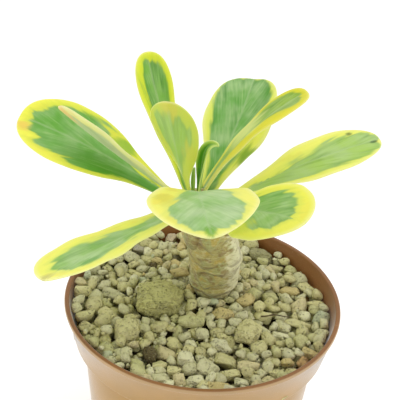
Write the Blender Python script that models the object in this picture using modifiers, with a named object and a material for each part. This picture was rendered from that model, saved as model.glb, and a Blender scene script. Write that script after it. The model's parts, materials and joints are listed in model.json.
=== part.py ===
"""A variegated succulent euphorbia in a round plastic pot filled with pumice gravel.

The origin is the centre of the pot's underside and +Z is up. Seen from -Y, the widest leaf is at
the left, the arching one comes forward over the trunk, and the trunk stands a little behind the
middle of the pot. Sizes are in metres, written as millimetres times MM.
"""
import math
import random
from typing import NamedTuple

import bmesh
import bpy
from mathutils import Euler, Matrix, Vector

MM = 0.001
GAP = 0.3 * MM                    # clearance between neighbouring solids
SEED = 8

# Pot
POT_SIDES = 48
POT_HEIGHT = 72.0 * MM
RIM_RADIUS = 42.5 * MM
LIP_WIDTH = 1.5 * MM
LIP_HEIGHT = 1.3 * MM
LIP_ROUNDING = 0.5 * MM
LIP_OVERHANG = 0.3 * MM
WALL = 1.2 * MM
COLLAR_HEIGHT = 12.5 * MM
COLLAR_FOOT_RADIUS = 39.7 * MM
BODY_TOP_RADIUS = 36.8 * MM
BODY_FOOT_RADIUS = 32.0 * MM
FLOOR_TOP = 2.7 * MM
FOOT_RING_WIDTH = 4.0 * MM
RECESS_DEPTH = 1.5 * MM
PAD_RADIUS = 11.0 * MM
EDGE_EASING = 0.6 * MM            # how far the pot's other corners are taken back
INNER_EASING = 1.0 * MM
DRAIN_COUNT = 8
DRAIN_RADIUS = 2.5 * MM
DRAIN_CIRCLE_RADIUS = 19.5 * MM
DRAIN_SIDES = 12
COLLAR_FOOT = POT_HEIGHT - COLLAR_HEIGHT

# Pumice bed
BED_EDGE_HEIGHT = 65.6 * MM
MOUND_HEIGHT = 3.6 * MM
MOUND_REACH = 20.0 * MM
BED_SLOPE = 0.035                 # fall of the gravel towards the right
BED_RINGS = 3
GRAIN_COUNT = 125
GRAIN_SIZES = (2.5 * MM, 3.7 * MM)
GRAIN_LIFT = 0.25                 # share of its half-height by which a grain's middle is above the bed
GRAIN_ROUGHNESS = 0.14
GRAIN_BOXINESS = 0.9
GRAIN_TO_WALL = 0.1 * MM
GRAIN_TO_STONE = 0.4 * MM         # from a grain's middle to a large stone's outline
TRUNK_CLEAR_RADIUS = 7.6 * MM     # no grain's middle is closer to the trunk's
GOLDEN_ANGLE = math.radians(137.508)

# Trunk
TRUNK_FOOT = (2.8 * MM, 8.0 * MM)
CROWN = (-3.3 * MM, 9.0 * MM)
BEND_START = 80.0 * MM
BEND_END = 104.0 * MM
TRUNK_SIDES = 40
TRUNK_RINGS = 36
TRUNK_OUTLINE = tuple((radius * MM, height * MM) for radius, height in (
    (0, 57), (3.5, 58.2), (3.7, 62), (4.0, 65), (5.1, 67.6), (6.3, 70), (7.1, 73), (7.7, 76), (8.1, 79),
    (8.3, 82), (8.3, 85), (8.2, 88), (8.1, 91), (7.7, 94), (7.0, 97), (6.0, 100), (4.0, 102.6), (0, 104)))
SCAR_COLUMNS = 10                  # even, so that the scars meet all round
SCAR_SPACING = 4.6 * MM
SCAR_WAVE = 1.4 * MM              # how far each row's lower edge swings up and down
SCAR_RELIEF = 0.6 * MM
SCAR_PEAK = 0.3                   # where along a scar's height it stands out most
SCAR_ROUNDNESS = 0.7              # 1 is a straight slope on both sides of the peak, less is rounder
SCAR_START = 70.0 * MM
SCAR_END = 100.0 * MM
SCAR_FADE = 2.5 * MM

# Leaves
GROWN_LENGTH = 30                 # a leaf shorter than this, in millimetres, is a young one
LEAF_THICKNESS = 0.95 * MM
MARGIN_THICKNESS = 0.6 * MM
LEAF_ROWS = 16
LEAF_COLUMNS = 4
TIP_CROWDING = 1.6                # above 1, the rows stand closer together near the tip
TIP_HALF_WIDTH = 0.4 * MM
SHOULDER = 1.15
FOLD_CURVE = 1.4


class Leaf(NamedTuple):
    """One leaf: angles in degrees, lengths in millimetres.

    A heading of 0 points to the right, 90 to the back, 180 to the left and 270 to the front.
    """
    name: str
    seat_angle: float             # where its foot sits round the crown's axis
    seat_radius: float
    seat_height: float
    heading: float
    rise: float                   # slope at the foot
    tip_rise: float               # slope at the tip
    length: float
    width: float
    swerve: float = 0.0           # change of heading towards the tip
    arch: float = 1.0             # above 1, the bend comes late
    twist: float = 0.0
    tip_twist: float = 0.0
    fold: float = 10.0            # how far its halves are folded up from flat
    widest: float = 0.68          # share of the length at which it is widest
    foot: float = 0.16            # width at the foot as a share of the full width
    roundness: float = 2.2        # 2 is an elliptic end, more is blunter


LEAVES = (
    Leaf("leaf_left_broad", 166, 4.2, 97.2, heading=169, rise=31, tip_rise=13, length=57.5, width=22.5,
         twist=-14, tip_twist=-32, fold=11),
    Leaf("leaf_left_slim", 206, 4.1, 101.3, heading=176, rise=30, tip_rise=38, length=47, width=12,
         swerve=-2, twist=38, tip_twist=42, fold=13, widest=0.69, foot=0.2),
    Leaf("leaf_top", 151, 4.1, 100.9, heading=132, rise=49, tip_rise=65, length=45, width=12.5,
         swerve=-4, twist=3, tip_twist=-1, widest=0.79, foot=0.19, roundness=2.3),
    Leaf("leaf_upright", 210, 2.6, 102.2, heading=217, rise=68, tip_rise=77, length=36, width=16.5,
         swerve=10, twist=-11, tip_twist=25, fold=6, widest=0.7, foot=0.1, roundness=1.9),
    Leaf("leaf_rear_broad", 81, 5.2, 98.6, heading=55, rise=48, tip_rise=35, length=42.5, width=22.5,
         swerve=19, twist=29, tip_twist=-14, widest=0.65, foot=0.26, roundness=2.8),
    Leaf("leaf_right_upright", 65, 3, 103.2, heading=16, rise=63, tip_rise=28, length=43, width=14.5,
         swerve=-3, arch=1.17, twist=-13, tip_twist=-4, fold=5, widest=0.83, foot=0.48, roundness=2.3),
    Leaf("leaf_right", 13, 5.9, 99, heading=19, rise=27, tip_rise=14, length=53.5, width=17.5,
         swerve=-4, twist=16, tip_twist=9, fold=5),
    Leaf("leaf_right_front", 330, 6.1, 97.8, heading=306, rise=37, tip_rise=16, length=43.5,
         width=23.5, swerve=1, twist=33, tip_twist=23, fold=5, widest=0.6),
    Leaf("leaf_front", 273, 4.8, 98.5, heading=264, rise=73, tip_rise=-7, length=55.5, width=29,
         swerve=20, arch=0.71, twist=4, tip_twist=2, fold=8, widest=0.76, foot=0.2, roundness=1.7),
    Leaf("leaf_front_left", 192, 5.5, 96.9, heading=226, rise=1, tip_rise=1, length=53, width=22,
         swerve=9, twist=4, tip_twist=20, fold=7, widest=0.78, foot=0.41, roundness=1.9),
    Leaf("leaf_young_curled", 212, 0.4, 102.1, heading=348, rise=87, tip_rise=-70, length=21.3,
         width=5.4, arch=8.44, twist=18, tip_twist=60, fold=25, widest=0.53, foot=0.52, roundness=1.5),
    Leaf("leaf_bud", 172, 2.1, 101.8, heading=47, rise=92, tip_rise=91, length=10, width=1.8, twist=8,
         fold=25, widest=0.5, foot=0.6, roundness=2),
)


class Stone(NamedTuple):
    """One large stone on the bed: its middle, its size and its turn, in millimetres and degrees."""
    name: str
    place: tuple
    size: tuple
    turn: tuple
    boxiness: float               # 1 is a ball, less is squarer
    dark: bool = False


STONES = (
    Stone("stone_flat", (-13.0, -0.8), (15.6, 12.4, 7.4), (4, -5, 8), 0.55),
    Stone("stone_blocky", (-21.8, -15.6), (8.2, 8.4, 6.8), (6, -10, 14), 0.6),
    Stone("stone_right", (14.4, -11.0), (7.8, 9.6, 6.6), (-8, 10, -24), 0.75),
    Stone("stone_dark_back", (18.5, 30.2), (9.6, 5.4, 6.0), (10, 4, -12), 0.8, dark=True),
    Stone("stone_dark_front", (-14.2, -23.8), (3.6, 5.6, 4.4), (12, 18, 20), 0.7, dark=True),
)
STONE_ROUGHNESS = 0.07
STONE_LIFT = 0.22                 # share of its height by which a stone's middle is above the bed

# Colours, roughness and metallic value
TERRACOTTA = ((0.44, 0.23, 0.12), 0.45, 0.0)
PUMICE = ((0.46, 0.42, 0.24), 0.95, 0.0)
LAVA = ((0.09, 0.07, 0.05), 0.95, 0.0)
BARK = ((0.31, 0.27, 0.12), 0.8, 0.0)
LEAF_GREEN = ((0.17, 0.38, 0.12), 0.5, 0.0)
YOUNG_GREEN = ((0.35, 0.5, 0.06), 0.5, 0.0)


def clear_scene():
    """Start from an empty scene."""
    for old in list(bpy.data.objects):
        bpy.data.objects.remove(old, do_unlink=True)


def new_collection(name):
    """A collection in the scene."""
    collection = bpy.data.collections.new(name)
    bpy.context.scene.collection.children.link(collection)
    return collection


def material(name, finish):
    """A Principled material of one colour."""
    colour, roughness, metallic = finish
    made = bpy.data.materials.new(name)
    made.use_nodes = True
    shader = made.node_tree.nodes["Principled BSDF"]
    shader.inputs["Base Color"].default_value = (*colour, 1.0)
    shader.inputs["Roughness"].default_value = roughness
    shader.inputs["Metallic"].default_value = metallic
    made.diffuse_color = (*colour, 1.0)
    return made


def add_object(name, mesh, collection, finish=None):
    """An object of a mesh, in a collection, with a material of its own."""
    made = bpy.data.objects.new(name, mesh)
    collection.objects.link(made)
    if finish:
        made.data.materials.append(material(name, finish))
    return made


def as_cutter(guide):
    """Keep a guide solid out of the model."""
    guide.hide_render = True
    guide.display_type = "WIRE"
    return guide


def mesh_from(bm, name):
    """Turn a bmesh into a mesh and free it."""
    mesh = bpy.data.meshes.new(name)
    bm.to_mesh(mesh)
    bm.free()
    return mesh


def freeze(target):
    """Replace an object's mesh by its evaluated one and drop its modifiers."""
    evaluated = target.evaluated_get(bpy.context.evaluated_depsgraph_get())
    mesh = bpy.data.meshes.new_from_object(evaluated)
    target.modifiers.clear()
    target.data = mesh


def turned(name, outline, collection, finish=None):
    """A turned solid: an outline of (radius, height) that runs down its outer side, and a Screw."""
    bm = bmesh.new()
    points = [bm.verts.new((radius, 0.0, height)) for radius, height in outline]
    for first, second in zip(points, points[1:]):
        bm.edges.new((first, second))
    made = add_object(name, mesh_from(bm, name), collection, finish)
    screw = made.modifiers.new("Turn", "SCREW")
    screw.steps = POT_SIDES
    screw.render_steps = POT_SIDES
    screw.use_merge_vertices = True
    screw.merge_threshold = 0.01 * MM
    return made


def rounding(radius, height, size, start, end):
    """Three points of a rounded edge about a middle, from one angle to another in degrees."""
    angles = [math.radians(angle) for angle in (start, (start + end) / 2, end)]
    return [(radius + size * math.cos(angle), height + size * math.sin(angle)) for angle in angles]


def body_radius(height):
    """The pot body's outer radius below the collar."""
    return BODY_FOOT_RADIUS + (BODY_TOP_RADIUS - BODY_FOOT_RADIUS) * height / COLLAR_FOOT


def collar_radius(height):
    """The collar's outer radius."""
    share = (height - COLLAR_FOOT) / COLLAR_HEIGHT
    return COLLAR_FOOT_RADIUS + (RIM_RADIUS - LIP_OVERHANG - COLLAR_FOOT_RADIUS) * share


def pot_inside(clearance):
    """The pot's inner outline from the floor's corner up to below the lip, as (radius, height)."""
    floor = FLOOR_TOP + clearance
    corner = floor + INNER_EASING
    inset = WALL + clearance
    step_foot = COLLAR_FOOT + 0.5 * EDGE_EASING
    step_top = step_foot + WALL
    return [
        (body_radius(floor) - inset - INNER_EASING, floor),
        (body_radius(corner) - inset, corner),
        (body_radius(step_foot) - inset, step_foot),
        (collar_radius(step_top) - inset, step_top),
    ]


def pot_outline():
    """The pot's section: up the inside, over the lip, down the outside and under the floor."""
    lip_foot = POT_HEIGHT - LIP_HEIGHT
    lip_inner = RIM_RADIUS - LIP_WIDTH
    lip_middle = POT_HEIGHT - LIP_ROUNDING
    ring_inner = BODY_FOOT_RADIUS - FOOT_RING_WIDTH
    inside = [(0.0, FLOOR_TOP)] + pot_inside(0.0) + [(collar_radius(lip_foot) - WALL, lip_foot)]
    lip = rounding(lip_inner + LIP_ROUNDING, lip_middle, LIP_ROUNDING, 180, 90)
    lip += rounding(RIM_RADIUS - LIP_ROUNDING, lip_middle, LIP_ROUNDING, 90, 0)
    lip += [(RIM_RADIUS, lip_foot + LIP_OVERHANG), (RIM_RADIUS - LIP_OVERHANG, lip_foot)]
    outside = [
        (collar_radius(lip_foot), lip_foot - LIP_OVERHANG),
        (COLLAR_FOOT_RADIUS, COLLAR_FOOT + EDGE_EASING),
        (COLLAR_FOOT_RADIUS - EDGE_EASING, COLLAR_FOOT),
        (BODY_TOP_RADIUS, COLLAR_FOOT - EDGE_EASING),
        (body_radius(EDGE_EASING), EDGE_EASING),
        (BODY_FOOT_RADIUS - EDGE_EASING, 0.0),
        (ring_inner, 0.0),
        (ring_inner - EDGE_EASING, RECESS_DEPTH),
        (PAD_RADIUS + EDGE_EASING, RECESS_DEPTH),
        (PAD_RADIUS, 0.0),
        (0.0, 0.0),
    ]
    return inside + lip + outside


def make_pot(parts, cutters):
    """The pot, with drain holes in the recess of its underside."""
    pot = turned("pot", pot_outline(), parts, TERRACOTTA)
    bm = bmesh.new()
    for index in range(DRAIN_COUNT):
        angle = math.tau * (index + 0.5) / DRAIN_COUNT
        made = bmesh.ops.create_cone(bm, cap_ends=True, segments=DRAIN_SIDES, radius1=DRAIN_RADIUS,
                                     radius2=DRAIN_RADIUS, depth=3 * FLOOR_TOP)
        offset = Vector((math.cos(angle), math.sin(angle), 0.0)) * DRAIN_CIRCLE_RADIUS
        bmesh.ops.translate(bm, verts=made["verts"], vec=offset)
    drains = as_cutter(add_object("drain_holes", mesh_from(bm, "drain_holes"), cutters))
    cut = pot.modifiers.new("Drain holes", "BOOLEAN")
    cut.operation = "DIFFERENCE"
    cut.object = drains
    return pot


def bed_height(x, y):
    """The height of the gravel's bed under its grains: a slight fall and a low mound round the trunk."""
    distance = math.hypot(x - TRUNK_FOOT[0], y - TRUNK_FOOT[1])
    return BED_EDGE_HEIGHT - BED_SLOPE * x + MOUND_HEIGHT * math.exp(-(distance / MOUND_REACH) ** 2)


def make_bed(parts):
    """The bed's body, which fills the pot up to the foot of the grains."""
    wall_foot = pot_inside(GAP)
    edge = collar_radius(BED_EDGE_HEIGHT) - WALL - GAP
    top = [(edge * ring / BED_RINGS, BED_EDGE_HEIGHT) for ring in range(BED_RINGS + 1)]
    outline = top + wall_foot[::-1] + [(0.0, FLOOR_TOP + GAP)]
    bed = turned("pumice_bed", outline, parts, PUMICE)
    freeze(bed)
    for vertex in bed.data.vertices:
        if vertex.co.z > BED_EDGE_HEIGHT - GAP:
            vertex.co.z = bed_height(vertex.co.x, vertex.co.y)
    return bed


def pebble(name, size, turn, boxiness, roughness, draw, subdivisions=1, grow=0.0):
    """A stone: a ball pushed towards a box, roughened, sized and turned about its middle."""
    bm = bmesh.new()
    bmesh.ops.create_icosphere(bm, subdivisions=subdivisions, radius=1.0)
    for vertex in bm.verts:
        stretch = 1.0 + draw.uniform(-roughness, roughness)
        squared = [math.copysign(abs(value) ** boxiness, value) for value in vertex.co]
        vertex.co = Vector([value * stretch * (0.5 * side + grow) for value, side in zip(squared, size)])
    bmesh.ops.rotate(bm, verts=bm.verts, matrix=Euler(turn).to_matrix())
    return mesh_from(bm, name)


def stone_spot(stone):
    """Where the middle of a large stone lies."""
    x, y = (value * MM for value in stone.place)
    return Vector((x, y, bed_height(x, y) + STONE_LIFT * stone.size[2] * MM))


def make_stone(stone, collection, grow=0.0, finish=None):
    """A large stone on the bed or, with grow, the space that it needs there."""
    name = stone.name if finish else stone.name + "_space"
    size = [value * MM for value in stone.size]
    turn = [math.radians(value) for value in stone.turn]
    mesh = pebble(name, size, turn, stone.boxiness, STONE_ROUGHNESS, random.Random(stone.name), 2, grow)
    mesh.transform(Matrix.Translation(stone_spot(stone)))
    return add_object(name, mesh, collection, finish)


def near_stone(x, y, reach):
    """Whether a spot is closer than reach to a large stone's outline."""
    for stone in STONES:
        turn = math.radians(stone.turn[2])
        away = Vector((x, y)) - Vector(stone.place) * MM
        across = (away.x * math.cos(turn) + away.y * math.sin(turn)) / (stone.size[0] * MM / 2 + reach)
        along = (away.y * math.cos(turn) - away.x * math.sin(turn)) / (stone.size[1] * MM / 2 + reach)
        if math.hypot(across, along) < 1.0:
            return True
    return False


def grow_grains(bed, scratch):
    """Fuse the grains of the bed's surface to it, spread like the seeds of a sunflower."""
    draw = random.Random(SEED)
    edge = collar_radius(BED_EDGE_HEIGHT) - WALL - GAP
    grains = []
    for index in range(GRAIN_COUNT):
        size = [2 * draw.uniform(*GRAIN_SIZES) for _ in range(3)]
        reach = max(size) / 2
        radius = (edge - GRAIN_SIZES[0]) * math.sqrt((index + 0.5) / GRAIN_COUNT)
        radius = min(radius, edge - reach * (1.0 + GRAIN_ROUGHNESS) - GRAIN_TO_WALL)
        angle = index * GOLDEN_ANGLE
        x, y = radius * math.cos(angle), radius * math.sin(angle)
        from_trunk = math.hypot(x - TRUNK_FOOT[0], y - TRUNK_FOOT[1])
        turn = [draw.uniform(0, math.tau) for _ in range(3)]
        if from_trunk < TRUNK_CLEAR_RADIUS or near_stone(x, y, GRAIN_TO_STONE):
            continue
        mesh = pebble("grain", size, turn, GRAIN_BOXINESS, GRAIN_ROUGHNESS, draw)
        mesh.transform(Matrix.Translation((x, y, bed_height(x, y) + GRAIN_LIFT * min(size) / 2)))
        grains.append(add_object("grain", mesh, scratch))
    union = bed.modifiers.new("Grains", "BOOLEAN")
    union.operation = "UNION"
    union.operand_type = "COLLECTION"
    union.collection = scratch
    union.solver = "MANIFOLD"
    freeze(bed)
    for grain in grains:
        bpy.data.objects.remove(grain, do_unlink=True)
    bpy.data.collections.remove(scratch)


def keep_largest(target):
    """Drop the loose scraps that a cut leaves."""
    bm = bmesh.new()
    bm.from_mesh(target.data)
    unseen = set(bm.verts)
    islands = []
    while unseen:
        island = []
        waiting = [unseen.pop()]
        while waiting:
            vertex = waiting.pop()
            island.append(vertex)
            for edge in vertex.link_edges:
                other = edge.other_vert(vertex)
                if other in unseen:
                    unseen.remove(other)
                    waiting.append(other)
        islands.append(island)
    islands.sort(key=len)
    for island in islands[:-1]:
        bmesh.ops.delete(bm, geom=island, context="VERTS")
    bm.to_mesh(target.data)
    bm.free()


def hollow_bed(bed, spaces):
    """Cut the hole for the trunk's root and the seats of the large stones."""
    cut = bed.modifiers.new("Seats", "BOOLEAN")
    cut.operation = "DIFFERENCE"
    cut.operand_type = "COLLECTION"
    cut.collection = spaces
    cut.solver = "MANIFOLD"
    freeze(bed)
    keep_largest(bed)


def smooth_value(values, share):
    """A value on the smooth curve through evenly spaced values, at a share of its length."""
    last = len(values) - 1
    index = min(int(share * last), last - 1)
    t = share * last - index
    before, start, end, after = (values[min(max(index + step, 0), last)] for step in (-1, 0, 1, 2))
    return 0.5 * (2 * start + (end - before) * t
                  + (2 * before - 5 * start + 4 * end - after) * t ** 2
                  + (3 * start - before - 3 * end + after) * t ** 3)


def trunk_section(share, grow):
    """The trunk's radius and height at a share of its outline from root to crown."""
    def point(at):
        at = min(max(at, 0.0), 1.0)
        return Vector([smooth_value([spot[axis] for spot in TRUNK_OUTLINE], at) for axis in (0, 1)])
    step = 0.1 / len(TRUNK_OUTLINE)
    spot = point(share)
    along = (point(share + step) - point(share - step)).normalized()
    return max(spot.x + grow * along.y, 0.0), spot.y - grow * along.x


def trunk_axis(height):
    """The trunk's middle at a height: upright, then bending left into the crown."""
    share = min(max((height - BEND_START) / (BEND_END - BEND_START), 0.0), 1.0)
    ease = share * share * (3 - 2 * share)
    return [foot + (crown - foot) * ease for foot, crown in zip(TRUNK_FOOT, CROWN)]


def scar_edge(row, angle):
    """The height of a row's lower edge: a wave that is turned over in every other row."""
    swing = SCAR_WAVE if row % 2 else -SCAR_WAVE
    return SCAR_START + row * SCAR_SPACING + swing * math.cos(SCAR_COLUMNS / 2 * angle)


def scar_relief(angle, height):
    """How far the leaf scars stand out: rows of scales, each thickest just above its lower edge."""
    if not SCAR_START < height < SCAR_END:
        return 0.0
    row = math.floor((height - SCAR_START) / SCAR_SPACING)
    row += (height >= scar_edge(row + 1, angle)) - (height < scar_edge(row, angle))
    lower = scar_edge(row, angle)
    tall = scar_edge(row + 1, angle) - lower
    share = (height - lower) / tall
    bulge = share / SCAR_PEAK if share < SCAR_PEAK else (1 - share) / (1 - SCAR_PEAK)
    fade = min(height - SCAR_START, SCAR_END - height) / SCAR_FADE
    return SCAR_RELIEF * (bulge ** SCAR_ROUNDNESS * tall / SCAR_SPACING - 0.5) * min(fade, 1.0)


def make_trunk(name, collection, grow=0.0, finish=None):
    """The swollen trunk with its root in the bed or, with grow, the space that it needs."""
    bm = bmesh.new()
    bmesh.ops.create_uvsphere(bm, u_segments=TRUNK_SIDES, v_segments=TRUNK_RINGS, radius=1.0)
    for vertex in bm.verts:
        share = math.acos(max(-1.0, min(1.0, -vertex.co.z))) / math.pi
        angle = math.atan2(vertex.co.y, vertex.co.x)
        radius, height = trunk_section(share, grow)
        if radius > 0.0:
            radius += scar_relief(angle, height)
        x, y = trunk_axis(height)
        vertex.co = (x + radius * math.cos(angle), y + radius * math.sin(angle), height)
    trunk = add_object(name, mesh_from(bm, name), collection, finish)
    trunk.data.shade_smooth()
    return trunk


def half_width(leaf, t):
    """Half the leaf's width at a share of its length, in metres."""
    full = 0.5 * leaf.width * MM
    if t <= leaf.widest:
        swell = math.sin(math.pi / 2 * (t / leaf.widest) ** SHOULDER) ** 2
        return full * (leaf.foot + (1 - leaf.foot) * swell)
    past = (t - leaf.widest) / (1 - leaf.widest)
    return max(full * (1 - past ** leaf.roundness) ** (1 / leaf.roundness), TIP_HALF_WIDTH)


def leaf_direction(leaf, t):
    """The heading and the slope of the midrib at a share of the leaf's length, in radians."""
    heading = math.radians(leaf.heading + leaf.swerve * t)
    rise = math.radians(leaf.rise + (leaf.tip_rise - leaf.rise) * t ** leaf.arch)
    return heading, rise


def leaf_frames(leaf, rows):
    """For each row of a leaf: its share of the length, its middle, its sideways and up vectors."""
    seat = math.radians(leaf.seat_angle)
    middle = Vector((CROWN[0] + leaf.seat_radius * MM * math.cos(seat),
                     CROWN[1] + leaf.seat_radius * MM * math.sin(seat), leaf.seat_height * MM))
    frames = []
    previous = None
    for row in range(rows + 1):
        t = 1 - (1 - row / rows) ** TIP_CROWDING
        heading, rise = leaf_direction(leaf, t)
        along = Vector((math.cos(rise) * math.cos(heading), math.cos(rise) * math.sin(heading),
                        math.sin(rise)))
        if previous:
            middle = middle + (along + previous[1]) / 2 * leaf.length * MM * (t - previous[0])
        level = Vector((-math.sin(heading), math.cos(heading), 0.0))
        twist = math.radians(leaf.twist + (leaf.tip_twist - leaf.twist) * t)
        upright = along.cross(level)
        side = level * math.cos(twist) + upright * math.sin(twist)
        frames.append((t, middle, side, along.cross(side)))
        previous = (t, along)
    return frames


def make_leaf(leaf, parts, crown_space):
    """A leaf: a flat grid laid along its midrib, folded, thickened and cut clear of the trunk."""
    rows = LEAF_ROWS if leaf.length > GROWN_LENGTH else LEAF_ROWS // 2
    bm = bmesh.new()
    bmesh.ops.create_grid(bm, x_segments=LEAF_COLUMNS, y_segments=rows, size=1.0)
    bmesh.ops.triangulate(bm, faces=bm.faces)
    frames = leaf_frames(leaf, rows)
    fold = math.radians(leaf.fold)
    margin = []
    for vertex in bm.verts:
        across = vertex.co.x
        t, middle, side, up = frames[round((vertex.co.y + 1) / 2 * rows)]
        reach = half_width(leaf, t)
        vertex.co = (middle + side * across * reach * math.cos(fold)
                     + up * abs(across) ** FOLD_CURVE * reach * math.sin(fold))
        margin.append(1.0 - abs(across))
    made = add_object(leaf.name, mesh_from(bm, leaf.name), parts,
                      LEAF_GREEN if leaf.length > GROWN_LENGTH else YOUNG_GREEN)
    body = made.vertex_groups.new(name="body")
    for index, weight in enumerate(margin):
        body.add([index], weight, "REPLACE")
    wall = made.modifiers.new("Thickness", "SOLIDIFY")
    wall.thickness = LEAF_THICKNESS
    wall.offset = 0.0
    wall.vertex_group = body.name
    wall.thickness_vertex_group = MARGIN_THICKNESS / LEAF_THICKNESS
    cut = made.modifiers.new("Trunk", "BOOLEAN")
    cut.operation = "DIFFERENCE"
    cut.object = crown_space
    made.data.shade_smooth()
    return made


def main():
    """Build the potted plant."""
    clear_scene()
    parts = new_collection("potted_euphorbia")
    cutters = new_collection("cutters")
    spaces = new_collection("bed_spaces")
    make_pot(parts, cutters)
    trunk_space = as_cutter(make_trunk("trunk_space", spaces, GAP))
    make_trunk("trunk", parts, 0.0, BARK)
    for stone in STONES:
        make_stone(stone, parts, finish=LAVA if stone.dark else PUMICE)
        as_cutter(make_stone(stone, spaces, GAP))
    bed = make_bed(parts)
    grow_grains(bed, new_collection("grains"))
    hollow_bed(bed, spaces)
    for leaf in LEAVES:
        make_leaf(leaf, parts, trunk_space)


main()
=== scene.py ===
"""The looks of a potted variegated euphorbia, laid out as a Blender add-on.

Each piece stands for a node of the packed model and keeps that node's form and place: the plastic
pot, the loose gravel, the large stones, the scarred trunk and the leaves. The formulas and tables
for the forms are those of the part's source. Sizes are in metres, written as millimetres times MM.
"""
import json
import math
import random
from typing import NamedTuple

import bmesh
import bpy
import numpy as np
from mathutils import Euler, Matrix, Vector, noise

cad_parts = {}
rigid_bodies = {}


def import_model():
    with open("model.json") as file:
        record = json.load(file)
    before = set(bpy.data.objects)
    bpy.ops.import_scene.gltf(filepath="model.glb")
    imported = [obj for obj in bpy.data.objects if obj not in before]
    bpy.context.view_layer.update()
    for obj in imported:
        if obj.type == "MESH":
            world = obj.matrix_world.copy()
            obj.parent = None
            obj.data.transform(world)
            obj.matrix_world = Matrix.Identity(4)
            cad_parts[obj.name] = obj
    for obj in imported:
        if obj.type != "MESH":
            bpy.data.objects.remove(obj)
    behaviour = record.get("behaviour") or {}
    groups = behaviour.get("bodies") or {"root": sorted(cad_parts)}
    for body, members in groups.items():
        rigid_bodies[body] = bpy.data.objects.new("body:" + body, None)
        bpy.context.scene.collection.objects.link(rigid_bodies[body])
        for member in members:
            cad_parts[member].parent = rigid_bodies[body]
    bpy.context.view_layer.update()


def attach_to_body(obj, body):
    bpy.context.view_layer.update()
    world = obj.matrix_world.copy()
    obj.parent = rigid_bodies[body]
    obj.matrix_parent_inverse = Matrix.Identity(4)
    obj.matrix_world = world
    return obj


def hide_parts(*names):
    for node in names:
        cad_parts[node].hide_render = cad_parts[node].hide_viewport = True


bl_info = {
    "name": "Potted Euphorbia",
    "version": (1, 0, 0),
    "blender": (4, 5, 0),
    "location": "View3D > Sidebar > Euphorbia",
    "description": "Builds the finished pieces of a potted variegated euphorbia on its packed model",
    "category": "Object",
}

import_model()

MM = 0.001
BODY = "root"
FLAT_SCALE = 50.0                 # millimetres of leaf to one unit of its flat map

# Pot, as in the part
POT_HEIGHT = 72.0 * MM
RIM_RADIUS = 42.5 * MM
LIP_WIDTH = 1.5 * MM
LIP_HEIGHT = 1.3 * MM
LIP_ROUNDING = 0.5 * MM
LIP_OVERHANG = 0.3 * MM
WALL = 1.2 * MM
COLLAR_HEIGHT = 12.5 * MM
COLLAR_FOOT_RADIUS = 39.7 * MM
BODY_TOP_RADIUS = 36.8 * MM
BODY_FOOT_RADIUS = 32.0 * MM
FLOOR_TOP = 2.7 * MM
FOOT_RING_WIDTH = 4.0 * MM
RECESS_DEPTH = 1.5 * MM
PAD_RADIUS = 11.0 * MM
EDGE_EASING = 0.6 * MM
CLOUD_TINT = (0.9, 0.8, 0.62)     # warms the plastic in patches
INNER_EASING = 1.0 * MM
DRAIN_COUNT = 8
DRAIN_RADIUS = 2.5 * MM
DRAIN_CIRCLE_RADIUS = 19.5 * MM
DRAIN_SIDES = 32
COLLAR_FOOT = POT_HEIGHT - COLLAR_HEIGHT

# Gravel
BED_EDGE_HEIGHT = 65.6 * MM
MOUND_HEIGHT = 3.6 * MM
MOUND_REACH = 20.0 * MM
BED_SLOPE = 0.035                 # fall of the gravel towards the right
GAP = 0.3 * MM
FILL_DEPTH = 5.0 * MM             # how far the fill, painted dark as the shade between the grains, stays under the bed's surface
CELL = 0.4 * MM                   # of the grid of heights on which the grains come to rest
CONTACT = 0.93                    # share of a grain's underside that stays clear of what it lies on
CROWN_OVER_BED = 2.5 * MM         # no grain's top is higher above the bed
WALL_RISE = 3.2 * MM              # how much higher the gravel stands at the pot's wall
WALL_ROOM = 0.1 * MM
WALL_CHECK = 4.0 * MM             # how far below the rim the wall bounds the grid of heights
TRUNK_ROOM = 5.8 * MM             # kept free of grains about the trunk's axis
SPOTS_REACH = 41.0 * MM           # how far from the pot's axis places are tried
MEETING_HEIGHT = 2.5 * MM         # over the bed, where a grain meets the wall
CORNER_REACH = 1.04               # how much further a grain's corners reach than its egg
FULLNESS = 1.08                   # how much larger a grain is than the egg that comes to rest
GRAIN_WIDTHS = (0.68, 0.95)       # range of the widths, as shares of the length
GRAIN_HEIGHTS = (0.55, 0.85)      # range of the heights, as shares of the length
STONE_CLOSENESS = 0.96            # share of a large stone's size that the grains keep clear of
GRAIN_SHRINK = 0.55               # share of the range of sizes that the last grains are without
NOTED_HEIGHT = 0.82               # height of a noted grain, as a share of its smaller side
NOTED_SINK = 1.6 * MM             # how far below its highest place a noted grain may lie
CRUMB_SIZES = (0.8 * MM, 1.9 * MM)
STONE_CUTS = 8                    # flat faces cut into each stone and grain
STONE_FACES = (0.85, 1.2)         # range of a large stone's flat faces from its middle, in radii
GRAIN_FACES = (0.62, 0.98)        # the same of a grain
GRAIN_BOXINESS = 0.62             # 1 is a ball, less is squarer
GRAIN_RUGGEDNESS = 0.19
BUMP_PITCHES = (5, 9, 17, 30)     # fine bumps over one radius of a large stone
BUMPS_PER_METRE = 520.0           # on the grains
PEBBLE_KINDS = 12
CRUMB_KINDS = 4
FILL_RINGS = 12
FILL_SIDES = 96

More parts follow.
